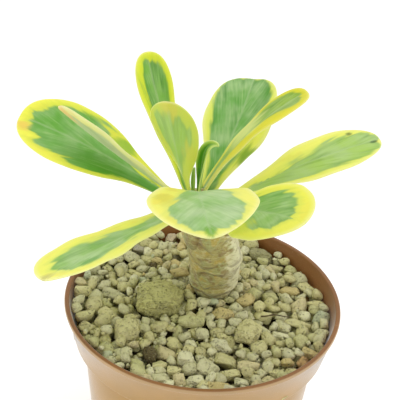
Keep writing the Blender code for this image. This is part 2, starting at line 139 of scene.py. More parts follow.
# Trunk, as in the part
TRUNK_FOOT = (2.8 * MM, 8.0 * MM)
CROWN = (-3.3 * MM, 9.0 * MM)
BEND_START = 80.0 * MM
BEND_END = 104.0 * MM
TRUNK_OUTLINE = tuple((radius * MM, height * MM) for radius, height in (
    (0, 57), (3.5, 58.2), (3.7, 62), (4.0, 65), (5.1, 67.6), (6.3, 70), (7.1, 73), (7.7, 76), (8.1, 79),
    (8.3, 82), (8.3, 85), (8.2, 88), (8.1, 91), (7.7, 94), (7.0, 97), (6.0, 100), (4.0, 102.6), (0, 104)))
SCAR_COLUMNS = 10
SCAR_SPACING = 4.6 * MM
SCAR_WAVE = 1.4 * MM
SCAR_RELIEF = 0.6 * MM
SCAR_PEAK = 0.3
SCAR_ROUNDNESS = 0.7
SCAR_START = 70.0 * MM
SCAR_END = 100.0 * MM
SCAR_FADE = 2.5 * MM

# Fine shape of the trunk
TRUNK_SIDES = 224
TRUNK_RINGS = 230
FOOT_RINGS_SPACING = 3.1 * MM     # of the rings round the foot of the trunk
FOOT_RINGS_END = 76.0 * MM        # they fade out up to this height
FOOT_RINGS_FADE = 4.0 * MM
WRINKLE_SPACING = 0.8 * MM

# Leaves, as in the part
GROWN_LENGTH = 30
LEAF_THICKNESS = 0.95 * MM
MARGIN_THICKNESS = 0.6 * MM
TIP_CROWDING = 1.6
SHOULDER = 1.15
FOLD_CURVE = 1.4

# Fine shape of the leaves
WAVE_PITCH = 2.6                  # millimetres along a leaf for one radian of its margin's wave
UNEVENNESS = 0.018                # how far the outline strays, as a share of the width
TIP_ROUNDING = 0.015              # share of the length over which the tip thins out
RIB_WIDTH = 0.75                  # millimetres from the midrib to where its groove fades
YOUNG_THICKNESS = 0.8             # of a young leaf, as a share of a grown one's


class Leaf(NamedTuple):
    """One leaf: angles in degrees, lengths in millimetres.

    A heading of 0 points to the right, 90 to the back, 180 to the left and 270 to the front.
    """
    name: str
    seat_angle: float             # where its foot sits round the crown's axis
    seat_radius: float
    seat_height: float
    heading: float
    rise: float                   # slope at the foot
    tip_rise: float               # slope at the tip
    length: float
    width: float
    swerve: float = 0.0           # change of heading towards the tip
    arch: float = 1.0             # above 1, the bend comes late
    twist: float = 0.0
    tip_twist: float = 0.0
    fold: float = 10.0            # how far its halves are folded up from flat
    widest: float = 0.68          # share of the length at which it is widest
    foot: float = 0.16            # width at the foot as a share of the full width
    roundness: float = 2.2        # 2 is an elliptic end, more is blunter


LEAVES = (
    Leaf("leaf_left_broad", 166, 4.2, 97.2, heading=169, rise=31, tip_rise=13, length=57.5, width=22.5,
         twist=-14, tip_twist=-32, fold=11),
    Leaf("leaf_left_slim", 206, 4.1, 101.3, heading=176, rise=30, tip_rise=38, length=47, width=12,
         swerve=-2, twist=38, tip_twist=42, fold=13, widest=0.69, foot=0.2),
    Leaf("leaf_top", 151, 4.1, 100.9, heading=132, rise=49, tip_rise=65, length=45, width=12.5,
         swerve=-4, twist=3, tip_twist=-1, widest=0.79, foot=0.19, roundness=2.3),
    Leaf("leaf_upright", 210, 2.6, 102.2, heading=217, rise=68, tip_rise=77, length=36, width=16.5,
         swerve=10, twist=-11, tip_twist=25, fold=6, widest=0.7, foot=0.1, roundness=1.9),
    Leaf("leaf_rear_broad", 81, 5.2, 98.6, heading=55, rise=48, tip_rise=35, length=42.5, width=22.5,
         swerve=19, twist=29, tip_twist=-14, widest=0.65, foot=0.26, roundness=2.8),
    Leaf("leaf_right_upright", 65, 3, 103.2, heading=16, rise=63, tip_rise=28, length=43, width=14.5,
         swerve=-3, arch=1.17, twist=-13, tip_twist=-4, fold=5, widest=0.83, foot=0.48, roundness=2.3),
    Leaf("leaf_right", 13, 5.9, 99, heading=19, rise=27, tip_rise=14, length=53.5, width=17.5,
         swerve=-4, twist=16, tip_twist=9, fold=5),
    Leaf("leaf_right_front", 330, 6.1, 97.8, heading=306, rise=37, tip_rise=16, length=43.5,
         width=23.5, swerve=1, twist=33, tip_twist=23, fold=5, widest=0.6),
    Leaf("leaf_front", 273, 4.8, 98.5, heading=264, rise=73, tip_rise=-7, length=55.5, width=29,
         swerve=20, arch=0.71, twist=4, tip_twist=2, fold=8, widest=0.76, foot=0.2, roundness=1.7),
    Leaf("leaf_front_left", 192, 5.5, 96.9, heading=226, rise=1, tip_rise=1, length=53, width=22,
         swerve=9, twist=4, tip_twist=20, fold=7, widest=0.78, foot=0.41, roundness=1.9),
    Leaf("leaf_young_curled", 212, 0.4, 102.1, heading=348, rise=87, tip_rise=-70, length=21.3,
         width=5.4, arch=8.44, twist=18, tip_twist=60, fold=25, widest=0.53, foot=0.52, roundness=1.5),
    Leaf("leaf_bud", 172, 2.1, 101.8, heading=47, rise=92, tip_rise=91, length=10, width=1.8, twist=8,
         fold=25, widest=0.5, foot=0.6, roundness=2),
)


class Paint(NamedTuple):
    """How one leaf is coloured. Tones are in steps of 0 to 255, lengths in millimetres."""
    green: tuple                  # the middle of the blade
    margin: tuple                 # the yellow border
    border: tuple                 # its width from the left of the foot round the tip to the right,
                                  # (below 0, the green runs out over the edge)
    veins: float = 16.0           # angle between the midrib and the veins
    feather: float = 1.6          # how far the green runs out along the veins
    bloom: float = 0.4            # how much of the green is covered by a pale waxy bloom
    shade: float = 0.5            # how strong the deep green streaks are
    band: float = 0.0             # how deep the green is along the left side or, below 0, the right
    cream: float = 0.3            # how far the border pales towards the edge
    gold: float = 0.3             # how much of the border is a warmer yellow
    marks: tuple = ()             # spots: across, along, radius, tone


PAINTS = {
    "leaf_left_broad": Paint((106, 174, 56), (243, 243, 78), (-2.5, -0.6, 2.6, 3.8, 1.8, 3.8, 1.6), veins=13,
                             feather=2.2, bloom=0.35, shade=0.3, cream=0.05, band=0.6,
                             marks=((-6.0, 25.0, 3.0, (150, 196, 60)), (3.0, 55.0, 2.4, (240, 206, 90)))),
    "leaf_left_slim": Paint((184, 190, 150), (242, 236, 136), (1.2, 1.6, 1.9, 2.6, 1.6, 1.3, 1.2), veins=4,
                            feather=0.8, bloom=0.5, shade=0.3, gold=0.6,
                            marks=((0.0, 45.0, 4.5, (240, 186, 104)), (-3.0, 14.0, 7.0, (140, 184, 50)))),
    "leaf_top": Paint((112, 178, 34), (228, 234, 40), (0.4, 1.8, 2.0, 2.4, 2.0, 1.8, 0.4), veins=7,
                      feather=2.0, bloom=0.3, shade=0.9, cream=0.1),
    "leaf_upright": Paint((142, 192, 22), (208, 216, 0), (0.4, 2.8, 3.0, 2.6, 3.4, 3.4, 0.8), veins=7,
                          feather=1.6, bloom=0.15, shade=0.5, cream=0.0, gold=0.0,
                          marks=((5.4, 20.0, 4.0, (206, 204, 0)), (0.0, 35.5, 4.0, (216, 204, 20)))),
    "leaf_rear_broad": Paint((104, 168, 64), (240, 242, 100), (0.8, 2.0, 1.5, 0.1, 4.6, 2.8, 0.6), veins=20,
                             feather=1.2, bloom=0.5, shade=0.6, cream=0.4,
                             marks=((-7.0, 16.0, 3.5, (104, 160, 16)),)),
    "leaf_right_upright": Paint((146, 182, 30), (228, 220, 0), (2.0, 2.0, 1.4, 2.4, 5.4, 5.0, 2.4), veins=6,
                                feather=1.2, bloom=0.3, shade=0.6, cream=0.15, gold=0.2,
                                marks=((3.4, 20.0, 6.0, (226, 232, 140)),)),
    "leaf_right": Paint((172, 208, 90), (248, 247, 112), (0.6, 4.6, 4.8, 0.7, 2.0, 1.3, 0.3), veins=12,
                        feather=1.6, bloom=0.45, shade=0.5, cream=0.35, gold=0.3,
                        marks=((5.6, 45.5, 0.9, (104, 120, 40)), (-0.6, 51.2, 0.8, (70, 100, 50)))),
    "leaf_right_front": Paint((138, 186, 84), (240, 240, 88), (1.0, 2.6, 3.2, 5.4, 4.4, 4.0, 1.0), veins=24,
                              feather=1.5, bloom=0.55, shade=0.5, cream=0.25, band=0.35,
                              marks=((-8.0, 22.0, 5.0, (212, 220, 60)),)),
    "leaf_front": Paint((148, 192, 106), (243, 240, 112), (0.4, 1.8, 5.2, 1.4, 7.0, 4.4, 1.2), veins=36,
                        feather=1.6, bloom=0.85, shade=0.3, cream=0.3, gold=0.6,
                        marks=((0.0, 53.5, 1.9, (116, 172, 34)), (-10.0, 38.0, 3.4, (222, 214, 84)))),
    "leaf_front_left": Paint((146, 194, 88), (245, 245, 104), (0.8, 4.2, 4.8, 5.0, 4.6, 4.2, 1.6), veins=13,
                             feather=1.7, bloom=0.6, shade=0.5, cream=0.3,
                             marks=((4.6, 40.0, 3.2, (100, 164, 54)), (0.0, 52.0, 2.4, (206, 200, 110)))),
    "leaf_young_curled": Paint((74, 156, 20), (206, 232, 110), (0.2, 0.3, 0.5, 0.8, 0.5, 0.3, 0.2), veins=6,
                               feather=0.3, bloom=0.1, shade=0.5, cream=0.2),
    "leaf_bud": Paint((92, 156, 34), (160, 204, 80), (0.1, 0.2, 0.2, 0.3, 0.2, 0.2, 0.1), veins=6,
                      feather=0.2, bloom=0.1, shade=0.3, cream=0.1),
}


class Stone(NamedTuple):
    """One large stone on the bed: its middle, its size and its turn, in millimetres and degrees."""
    name: str
    place: tuple
    size: tuple
    turn: tuple
    boxiness: float               # 1 is a ball, less is squarer
    ruggedness: float
    tone: str


STONES = (
    Stone("stone_flat", (-13.0, -0.8), (16.0, 12.8, 8.2), (4, -5, 8), 0.42, 0.13, "olive"),
    Stone("stone_blocky", (-21.8, -15.6), (8.2, 8.4, 6.8), (6, -10, 14), 0.5, 0.09, "khaki"),
    Stone("stone_right", (14.4, -11.0), (7.8, 9.6, 6.6), (-8, 10, -24), 0.75, 0.1, "khaki"),
    Stone("stone_dark_back", (18.5, 30.2), (9.6, 5.4, 6.0), (10, 4, -12), 0.8, 0.11, "dusk"),
    Stone("stone_dark_front", (-14.2, -23.8), (3.6, 5.6, 4.4), (12, 18, 20), 0.7, 0.11, "dark"),
)
STONE_LIFT = 0.22                 # of a stone's middle over the bed, as a share of its height

# Colours of the stones and grains, in steps of 0 to 255, and how common each is among the grains
TONES = {
    "grey": (220, 216, 172),
    "mint": (206, 212, 176),
    "khaki": (223, 216, 160),
    "green": (210, 207, 151),
    "pale": (234, 230, 189),
    "tan": (223, 211, 162),
    "ochre": (218, 200, 140),
    "orange": (204, 168, 116),
    "dark": (104, 92, 62),
    "dusk": (176, 171, 130),
    "olive": (206, 202, 136),
    "pink": (220, 202, 172),
    "lilac": (198, 192, 168),
}
TONE_SHARES = {"khaki": 38, "grey": 32, "green": 10, "pale": 11, "tan": 5, "ochre": 1.5, "mint": 1,
               "orange": 0.2, "dark": 0.5, "pink": 0.3, "lilac": 0.6}

# The grains that stand out: across, to the back, long, thick, turn, tone (millimetres, degrees)
NOTED_GRAINS = (
    (-33, 0, 4.5, 5.5, 60, "grey"), (-28, 2, 7.5, 4, -5, "grey"), (-28.5, -8, 6, 5, 0, "khaki"),
    (-35, -9.5, 6, 3.5, 35, "khaki"), (-33.5, -15, 5, 4.5, 0, "khaki"), (-22, -24.5, 6, 4, 0, "grey"),
    (-17, -28.5, 4.5, 4, 0, "green"), (-26, -27.5, 3, 3, 0, "mint"), (-11, -27.5, 5, 4, 30, "khaki"),
    (-10.5, -34, 5.5, 4, 0, "grey"), (-12.5, -12, 5, 4, 0, "khaki"), (-9.5, -22, 6, 4.5, -15, "tan"),
    (-7.5, -17, 5, 4, -40, "khaki"), (-3, -9, 8, 4, 0, "green"), (0.5, -13, 4, 3.5, 0, "grey"),
    (-2.5, -17.5, 4, 3, -10, "pale"), (-3.5, -24.5, 5, 4.5, 0, "pale"), (-6.5, -29.5, 4, 4, 0, "khaki"),
    (-0.5, -32.5, 6, 4, 0, "pale"), (3, -27, 6.5, 5.5, 0, "grey"), (6.5, -17, 7, 4.5, -8, "pale"),
    (8.5, -22.5, 7, 4.5, -12, "khaki"), (14.5, -24.5, 6.5, 4, 0, "tan"), (9.5, -28.5, 5.5, 3.5, 10, "khaki"),
    (13, -32, 4.5, 3.5, 0, "pale"), (6.5, -35, 7, 4, 0, "ochre"), (20.5, -31, 5.5, 4, -30, "tan"),
    (23, -26.5, 4, 3.5, -20, "khaki"), (27.5, -26, 4.5, 3.5, 0, "khaki"), (26, -21.5, 4, 2.5, 0, "ochre"),
    (30.5, -21, 3.5, 3.5, 0, "orange"), (33, -16.5, 5, 4, -10, "ochre"), (19.5, -8, 4, 4, 0, "grey"),
    (24.5, -9.5, 5.5, 2.5, -5, "pale"), (30, -3, 8.5, 3.5, -5, "khaki"), (37, -7.5, 4.5, 3.5, -20, "grey"),
    (36.5, 7, 6.5, 3, -10, "khaki"), (21.5, 8.5, 5.5, 4.5, 0, "green"), (28, 13, 7, 4, -5, "ochre"),
    (34.5, 15.5, 6.5, 4, -25, "khaki"), (23.5, 24.5, 4.5, 4, 0, "khaki"), (28.5, 24, 4.5, 3.5, -20, "green"),
    (13.5, 3.5, 5.5, 4.5, -5, "ochre"), (6.5, -4, 6.5, 4.5, -25, "ochre"), (19, -1.5, 5.5, 4, -15, "khaki"),
    (-8, 14, 6.5, 3.5, -5, "ochre"), (-9.5, 21.5, 4.5, 4, 0, "ochre"), (-12.5, 35.5, 4, 3.5, 0, "pink"),
    (-22.5, 27.5, 4.5, 3.5, 0, "lilac"), (-21, -7.5, 5, 3.5, 0, "khaki"),
)

TWIG_RADIUS = 0.28 * MM
TWIG_STEPS = 24
# Where the dry twig runs: across, to the back, up (millimetres)
TWIG = ((18.1, -5.6, 69.9), (19.9, -5.9, 70.5), (22.0, -5.3, 70.7), (24.4, -5.1, 70.3), (26.8, -4.5, 69.6))

# Stage: the camera's place and where it looks, in metres, and its roll in degrees
CAMERA_PLACE = (0.0, -0.222436, 0.242065)
CAMERA_FORWARD = (-0.0117, 0.8535, -0.5210)
CAMERA_ROLL = -4.05
SENSOR_WIDTH = 36.0
FLOOR_CLOUD = (0.9, 0.9, 0.9)     # linear colour of the faint clouds on the floor
LIGHT_TARGET = (0.0, 0.0, 0.09)
SOFTBOXES = (
    ("overhead_light", (0.02, 0.05, 0.55), 0.5, "overhead"),
    ("left_light", (-0.5, -0.1, 0.2), 0.4, "sides"),
    ("right_light", (0.5, -0.06, 0.22), 0.4, "sides"),
)


def rgb(red, green, blue):
    """A colour given in steps of 0 to 255, as the linear values that materials take."""
    parts = (value / 255 for value in (red, green, blue))
    return tuple(part / 12.92 if part < 0.04 else ((part + 0.055) / 1.055) ** 2.4 for part in parts)


def colour(name, description, red, green, blue):
    """A colour that the user may change."""
    return bpy.props.FloatVectorProperty(name=name, description=description, subtype="COLOR", size=3,
                                         min=0.0, max=1.0, default=rgb(red, green, blue))


def length(name, description, millimetres):
    """A length that the user may change."""
    return bpy.props.FloatProperty(name=name, description=description, subtype="DISTANCE", unit="LENGTH",
                                   min=0.0, default=millimetres * MM)


def share(name, description, default, largest=1.0):
    """A share that the user may change."""
    return bpy.props.FloatProperty(name=name, description=description, subtype="FACTOR", min=0.0,
                                   max=largest, default=default)


def power(name, description, watts):
    """The power of a light that the user may change."""
    return bpy.props.FloatProperty(name=name, description=description, unit="POWER", min=0.0, default=watts)


def count(name, description, default, smallest=1):
    """A number of things that the user may change."""
    return bpy.props.IntProperty(name=name, description=description, min=smallest, default=default)


class PotSettings(bpy.types.PropertyGroup):
    """Finish of the pot."""
    sides: count("Sides", "Faces round the pot", 192, 24)
    outside: colour("Outside", "Colour of the outer wall", 172, 132, 64)
    rim: colour("Rim", "Colour of the lip and the inner wall", 140, 92, 46)
    # Also the colour of the painted highlight along the lip's outer edge
    dust: colour("Dust", "Colour of the dust on the rim", 214, 188, 140)
    gloss: share("Roughness", "Roughness of the plastic", 0.42)


class GravelSettings(bpy.types.PropertyGroup):
    """Grains of the gravel and their finish."""
    seed: count("Seed", "Seed of the heap of grains", 11)
    small: length("Small grain", "Size of the smallest grains", 3.2)
    large: length("Large grain", "Size of the largest grains", 6.4)
    under: count("Under layer", "Grains in the layer below", 300)
    tries: count("Tries", "Grains tried for the upper layer", 3000)
    crumbs: count("Crumbs", "Crumbs in the gaps", 420)
    roughness: length("Unevenness", "Height of the bumps on a grain", 0.55)
    # Painted shade: darkens the pores of the grains and stones
    pits: colour("Pits", "Colour of the pores", 96, 88, 54)
    stain: colour("Stain", "Colour of the darker mottles", 140, 130, 82)
    dust: colour("Dust", "Colour of the pale dust", 234, 230, 196)
    twig: colour("Twig", "Main colour of the dry twig", 58, 46, 30)
    worn_twig: colour("Worn twig", "Paler patches of the dry twig", 112, 94, 62)


class TrunkSettings(bpy.types.PropertyGroup):
    """Finish of the trunk."""
    bark: colour("Bark", "Main colour of the bark", 184, 172, 102)
    green: colour("Green bark", "Colour of the greener patches", 168, 170, 108)
    # Painted shade that darkens the creases between the scars and the rings at the foot
    crease: colour("Creases", "Colour of the creases between the scars", 92, 72, 34)
    ochre: colour("Ochre", "Colour of the worn patches", 192, 166, 74)
    corky: colour("Cork", "Colour of the brown corky patches", 142, 116, 68)
    # Also the colour of the painted highlight down the trunk's right side
    worn: colour("Worn bark", "Colour of the palest streaks", 226, 222, 178)
    foot: colour("Foot", "Colour of the bark at the foot", 166, 164, 120)


class LeafSettings(bpy.types.PropertyGroup):
    """Shape and finish of the leaves."""
    rows: count("Rows", "Faces along a leaf", 96, 16)
    columns: count("Columns", "Faces across each side of a leaf", 40, 8)
    groove: length("Groove", "Depth of the groove along the midrib", 0.22)
    wave: length("Wave", "How far the margin swings up and down", 0.3)
    bloom: colour("Bloom", "Colour of the pale waxy bloom", 186, 210, 154)
    vein: colour("Veins", "Colour of the fine light veins", 186, 214, 130)
    deep: colour("Deep green", "Colour of the dark streaks", 66, 132, 36)
    lush: colour("Lush green", "Colour of the deep band along one side", 84, 160, 26)
    cream: colour("Cream", "Colour of the palest edge", 250, 248, 196)
    gold: colour("Gold", "Colour of the warm patches of the border", 238, 222, 84)
    underside: colour("Underside", "Colour that pales the underside", 206, 222, 160)
    gloss: share("Roughness", "Roughness of the leaves", 0.42)
    glow: share("Glow", "Share of the light that passes through the flesh", 0.15)


class StudioSettings(bpy.types.PropertyGroup):
    """Light, floor and camera."""
    floor: colour("Floor", "Colour of the floor", 250, 250, 250)
    surroundings: share("Surroundings", "Strength of the white surroundings", 0.78, 5.0)
    overhead: power("Overhead", "Power of the light above", 0.6)
    sides: power("Sides", "Power of each side light", 0.45)
    lens: bpy.props.FloatProperty(name="Lens", description="Focal length in millimetres", min=1.0,
                                  subtype="DISTANCE_CAMERA", unit="CAMERA", default=81.0)


class Value:
    """What a socket carries. Arithmetic on it adds the nodes that work the result out."""

    def __init__(self, shader, socket):
        self.shader = shader
        self.socket = socket

    def with_terms(self, operation, *terms):
        """The result of one operation on numbers or, where the first term is one, on vectors."""
        first = terms[0]
        is_vector = isinstance(first, Value) and first.socket.type == "VECTOR"
        if is_vector and operation == "MULTIPLY" and not isinstance(terms[1], (Value, tuple)):
            return self.shader.node("ShaderNodeVectorMath", {"operation": "SCALE"}, first, Scale=terms[1])[0]
        kind = "ShaderNodeVectorMath" if is_vector else "ShaderNodeMath"
        return self.shader.node(kind, {"operation": operation}, *terms)[0]

    def __add__(self, other):
        return self.with_terms("ADD", self, other)

    def __sub__(self, other):
        return self.with_terms("SUBTRACT", self, other)

    def __rsub__(self, other):
        return self.with_terms("SUBTRACT", other, self)

    def __mul__(self, other):
        return self.with_terms("MULTIPLY", self, other)

    def __pow__(self, other):
        return self.with_terms("POWER", self, other)

    def __abs__(self):
        return self.with_terms("ABSOLUTE", self)

    __radd__ = __add__
    __rmul__ = __mul__

    def rising(self, low, high):
        """0 below low, 1 above high and a smooth rise between them."""
        smooth = {"interpolation_type": "SMOOTHSTEP"}
        return self.shader.node("ShaderNodeMapRange", smooth, self, low, high)[0]

    def falling(self, low, high):
        """1 below low, 0 above high and a smooth fall between them."""
        return 1 - self.rising(low, high)

    def parts(self):
        """The three numbers of a vector."""
        return self.shader.node("ShaderNodeSeparateXYZ", {}, self)


class Shader:
    """A material that is written as expressions."""

    def __init__(self, name):
        self.material = bpy.data.materials.new(name)
        self.material.use_nodes = True
        self.tree = self.material.node_tree
        self.principled = self.tree.nodes["Principled BSDF"]

    def feed(self, socket, value):
        """Give a socket a link, a number, a vector or a colour."""
        if isinstance(value, Value):
            self.tree.links.new(value.socket, socket)
        elif socket.type == "RGBA":
            socket.default_value = (*value[:3], 1.0)
        else:
            socket.default_value = value

    def node(self, kind, settings, *values, **named):
        """Make a node: its settings, then what its sockets take in order, then by name."""
        made = self.tree.nodes.new(kind)
        for key, setting in settings.items():
            setattr(made, key, setting)
        usable = [socket for socket in made.inputs if socket.enabled]
        for socket, value in list(zip(usable, values)) + [(made.inputs[key], named[key]) for key in named]:
            self.feed(socket, value)
        return [Value(self, socket) for socket in made.outputs if socket.enabled]

    def number(self, name):
        """A number that the mesh carries."""
        return self.node("ShaderNodeAttribute", {"attribute_name": name})[2]

    def place(self):
        """The spot in the object's own frame, in millimetres."""
        return self.node("ShaderNodeTexCoord", {})[3] * (1 / MM)

    def grain(self, where, scale, detail=2.0, roughness=0.5):
        """A soft noise about 0.5 whose patches measure about 1 / scale."""
        return self.node("ShaderNodeTexNoise", {}, Vector=where, Scale=scale, Detail=detail,
                         Roughness=roughness)[0]

    def cells(self, where, scale):
        """The distance to the nearest of many scattered points, 1 / scale apart."""
        return self.node("ShaderNodeTexVoronoi", {}, Vector=where, Scale=scale)[0]

    def vector(self, x, y, z):
        """A vector of three numbers."""
        return self.node("ShaderNodeCombineXYZ", {}, x, y, z)[0]

    def mix(self, factor, first, second, blend="MIX"):
        """The second colour over the first, by a factor."""
        settings = {"data_type": "RGBA", "blend_type": blend, "clamp_factor": True}
        return self.node("ShaderNodeMix", settings, factor, first, second)[0]

    def cover(self, base, *layers):
        """Lay colours over a base, one after the other, each by a factor of its own."""
        for factor, tone in layers:
            base = self.mix(factor, base, tone)
        return base

    def finish(self, base, roughness, height=None, relief=0.1, **constants):
        """Set the surface: its colour and roughness, a bump of so many millimetres, and constants."""
        self.feed(self.principled.inputs["Base Color"], base)
        self.feed(self.principled.inputs["Roughness"], roughness)
        for key, value in constants.items():
            self.principled.inputs[key.replace("_", " ")].default_value = value
        if height is not None:
            bump = self.node("ShaderNodeBump", {}, Strength=1.0, Distance=relief * MM, Height=height)[0]
            self.feed(self.principled.inputs["Normal"], bump)
        return self.material


def mesh_of(vertices, faces, name):
    """A mesh of points and faces."""
    mesh = bpy.data.meshes.new(name)
    mesh.from_pydata([tuple(vertex) for vertex in vertices], [], faces)
    mesh.update()
    return mesh


def mesh_from(bm, name):
    """Turn a bmesh into a mesh and free it."""
    mesh = bpy.data.meshes.new(name)
    bm.to_mesh(mesh)
    bm.free()
    return mesh


def turn_outwards(mesh, merge=0.0):
    """Turn a closed mesh's faces outwards, after merging the points that lie within a distance."""
    bm = bmesh.new()
    bm.from_mesh(mesh)
    if merge:
        bmesh.ops.remove_doubles(bm, verts=bm.verts, dist=merge)
    bmesh.ops.recalc_face_normals(bm, faces=bm.faces)
    bm.to_mesh(mesh)
    bm.free()


def add_object(name, mesh, material=None):
    """An object of a mesh, in the scene."""
    made = bpy.data.objects.new(name, mesh)
    bpy.context.scene.collection.objects.link(made)
    if material:
        mesh.materials.clear()
        mesh.materials.append(material)
    return made


def evaluated_mesh(target):
    """The mesh of an object with its modifiers worked out."""
    return bpy.data.meshes.new_from_object(target.evaluated_get(bpy.context.evaluated_depsgraph_get()))


def freeze(target):
    """Replace an object's mesh by its evaluated one and drop its modifiers."""
    mesh = evaluated_mesh(target)
    target.modifiers.clear()
    target.data = mesh


def declare(piece, node):
    """Say which body a finished piece rides on and which node it stands for, and hide that node."""
    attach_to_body(piece, BODY)
    if node:
        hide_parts(node)


def attach(mesh, name, values):
    """Store a number for each point of a mesh."""
    made = mesh.attributes.new(name, "FLOAT", "POINT")
    made.data.foreach_set("value", np.asarray(values, dtype=np.float32))


def smooth_value(values, at):
    """A value on the smooth curve through evenly spaced values, at a share of its length."""
    last = len(values) - 1
    index = min(int(at * last), last - 1)
    t = at * last - index
    before, start, end, after = (values[min(max(index + step, 0), last)] for step in (-1, 0, 1, 2))
    return 0.5 * (2 * start + (end - before) * t
                  + (2 * before - 5 * start + 4 * end - after) * t ** 2
                  + (3 * start - before - 3 * end + after) * t ** 3)


def rounding(radius, height, size, start, end, steps=6):
    """Points of a rounded edge about a middle, from one angle to another in degrees."""
    angles = [math.radians(start + (end - start) * step / steps) for step in range(steps + 1)]
    return [(radius + size * math.cos(angle), height + size * math.sin(angle)) for angle in angles]


def body_radius(height):
    """The pot body's outer radius below the collar."""
    return BODY_FOOT_RADIUS + (BODY_TOP_RADIUS - BODY_FOOT_RADIUS) * height / COLLAR_FOOT


def collar_radius(height):
    """The collar's outer radius."""
    rise = (height - COLLAR_FOOT) / COLLAR_HEIGHT
    return COLLAR_FOOT_RADIUS + (RIM_RADIUS - LIP_OVERHANG - COLLAR_FOOT_RADIUS) * rise


def wall_radius(height):
    """The radius of the pot's inner wall above its floor."""
    return (collar_radius(height) if height > COLLAR_FOOT + WALL else body_radius(height)) - WALL


def pot_inside(clearance):
    """The pot's inner outline from the floor's corner up to below the lip, as (radius, height)."""
    floor = FLOOR_TOP + clearance
    corner = floor + INNER_EASING
    inset = WALL + clearance
    step_foot = COLLAR_FOOT + 0.5 * EDGE_EASING
    step_top = step_foot + WALL
    return [
        (body_radius(floor) - inset - INNER_EASING, floor),
        (body_radius(corner) - inset, corner),
        (body_radius(step_foot) - inset, step_foot),
        (collar_radius(step_top) - inset, step_top),
    ]


def pot_outline():
    """The pot's section: up the inside, over the lip, down the outside and under the floor."""
    lip_foot = POT_HEIGHT - LIP_HEIGHT
    lip_middle = POT_HEIGHT - LIP_ROUNDING
    ring_inner = BODY_FOOT_RADIUS - FOOT_RING_WIDTH
    inside = [(0.0, FLOOR_TOP)] + pot_inside(0.0) + [(collar_radius(lip_foot) - WALL, lip_foot)]
    lip = rounding(RIM_RADIUS - LIP_WIDTH + LIP_ROUNDING, lip_middle, LIP_ROUNDING, 180, 90)
    lip += rounding(RIM_RADIUS - LIP_ROUNDING, lip_middle, LIP_ROUNDING, 90, 0)
    lip += rounding(RIM_RADIUS - LIP_OVERHANG, lip_foot + LIP_OVERHANG, LIP_OVERHANG, 0, -90, 4)
    outside = [(collar_radius(lip_foot), lip_foot - LIP_OVERHANG)]
    outside += rounding(COLLAR_FOOT_RADIUS - EDGE_EASING, COLLAR_FOOT + EDGE_EASING, EDGE_EASING, 0, -90)
    outside += [
        (BODY_TOP_RADIUS, COLLAR_FOOT - EDGE_EASING),
        (body_radius(EDGE_EASING), EDGE_EASING),
        (BODY_FOOT_RADIUS - EDGE_EASING, 0.0),
        (ring_inner, 0.0),
        (ring_inner - EDGE_EASING, RECESS_DEPTH),
        (PAD_RADIUS + EDGE_EASING, RECESS_DEPTH),
        (PAD_RADIUS, 0.0),
        (0.0, 0.0),
    ]
    return inside + lip + outside


def turned(name, outline, sides, material):
    """A turned solid: an outline of (radius, height) that runs down its outer side, and a Screw."""
    bm = bmesh.new()
    points = [bm.verts.new((radius, 0.0, height)) for radius, height in outline]
    for first, second in zip(points, points[1:]):
        bm.edges.new((first, second))
    made = add_object(name, mesh_from(bm, name), material)
    screw = made.modifiers.new("Turn", "SCREW")
    screw.steps = sides
    screw.render_steps = sides
    screw.use_merge_vertices = True
    screw.merge_threshold = 0.01 * MM
    return made


def pot_material(settings):
    """Terracotta-coloured plastic: brown on the lip and inside, sandy outside, with dust and a painted
    highlight along the lip's outer edge.
    """
    shader = Shader("terracotta_plastic")
    where = shader.place()
    x, y, z = where.parts()
    radius = (x * x + y * y) ** 0.5
    collar = z - COLLAR_FOOT / MM
    flare = (RIM_RADIUS - LIP_OVERHANG - COLLAR_FOOT_RADIUS) / COLLAR_HEIGHT
    from_wall = radius - collar * flare - (COLLAR_FOOT_RADIUS - WALL) / MM
    inside = from_wall.falling(0.3, 0.8) * collar.rising(1.0, 2.0)
    lip = (z - POT_HEIGHT / MM).rising(-1.5, -1.1)
    brown = shader.node("ShaderNodeMath", {"operation": "MAXIMUM"}, lip, inside)[0]
    # Painted highlight: a thin pale line along the lip's outer edge, laid on in the dust colour
    edge = lip * (radius - RIM_RADIUS / MM).rising(-0.3, -0.05)
    cloud = shader.grain(where, 0.08, 3.0)
    scuffs = shader.grain(where * (0.6, 0.6, 3.0), 0.9, 5.0, 0.65)
    speck = shader.grain(where, 2.2, 4.0, 0.7).rising(0.6, 0.72)
    base = shader.cover(settings.outside, (brown, settings.rim), (edge * 0.5, settings.dust))
    base = shader.mix((cloud - 0.4) * 0.5, base, CLOUD_TINT, "OVERLAY")
    base = shader.cover(base, (speck * 0.3 * brown, settings.dust),
                        (scuffs.rising(0.55, 0.75) * 0.12, settings.dust))
    rough = settings.gloss + scuffs * 0.16 - 0.08
    height = shader.grain(where, 6.0, 2.0) * 0.5 + scuffs
    return shader.finish(base, rough, height, 0.02, Specular_IOR_Level=0.5, Sheen_Weight=1.0,
                         Sheen_Roughness=0.28)


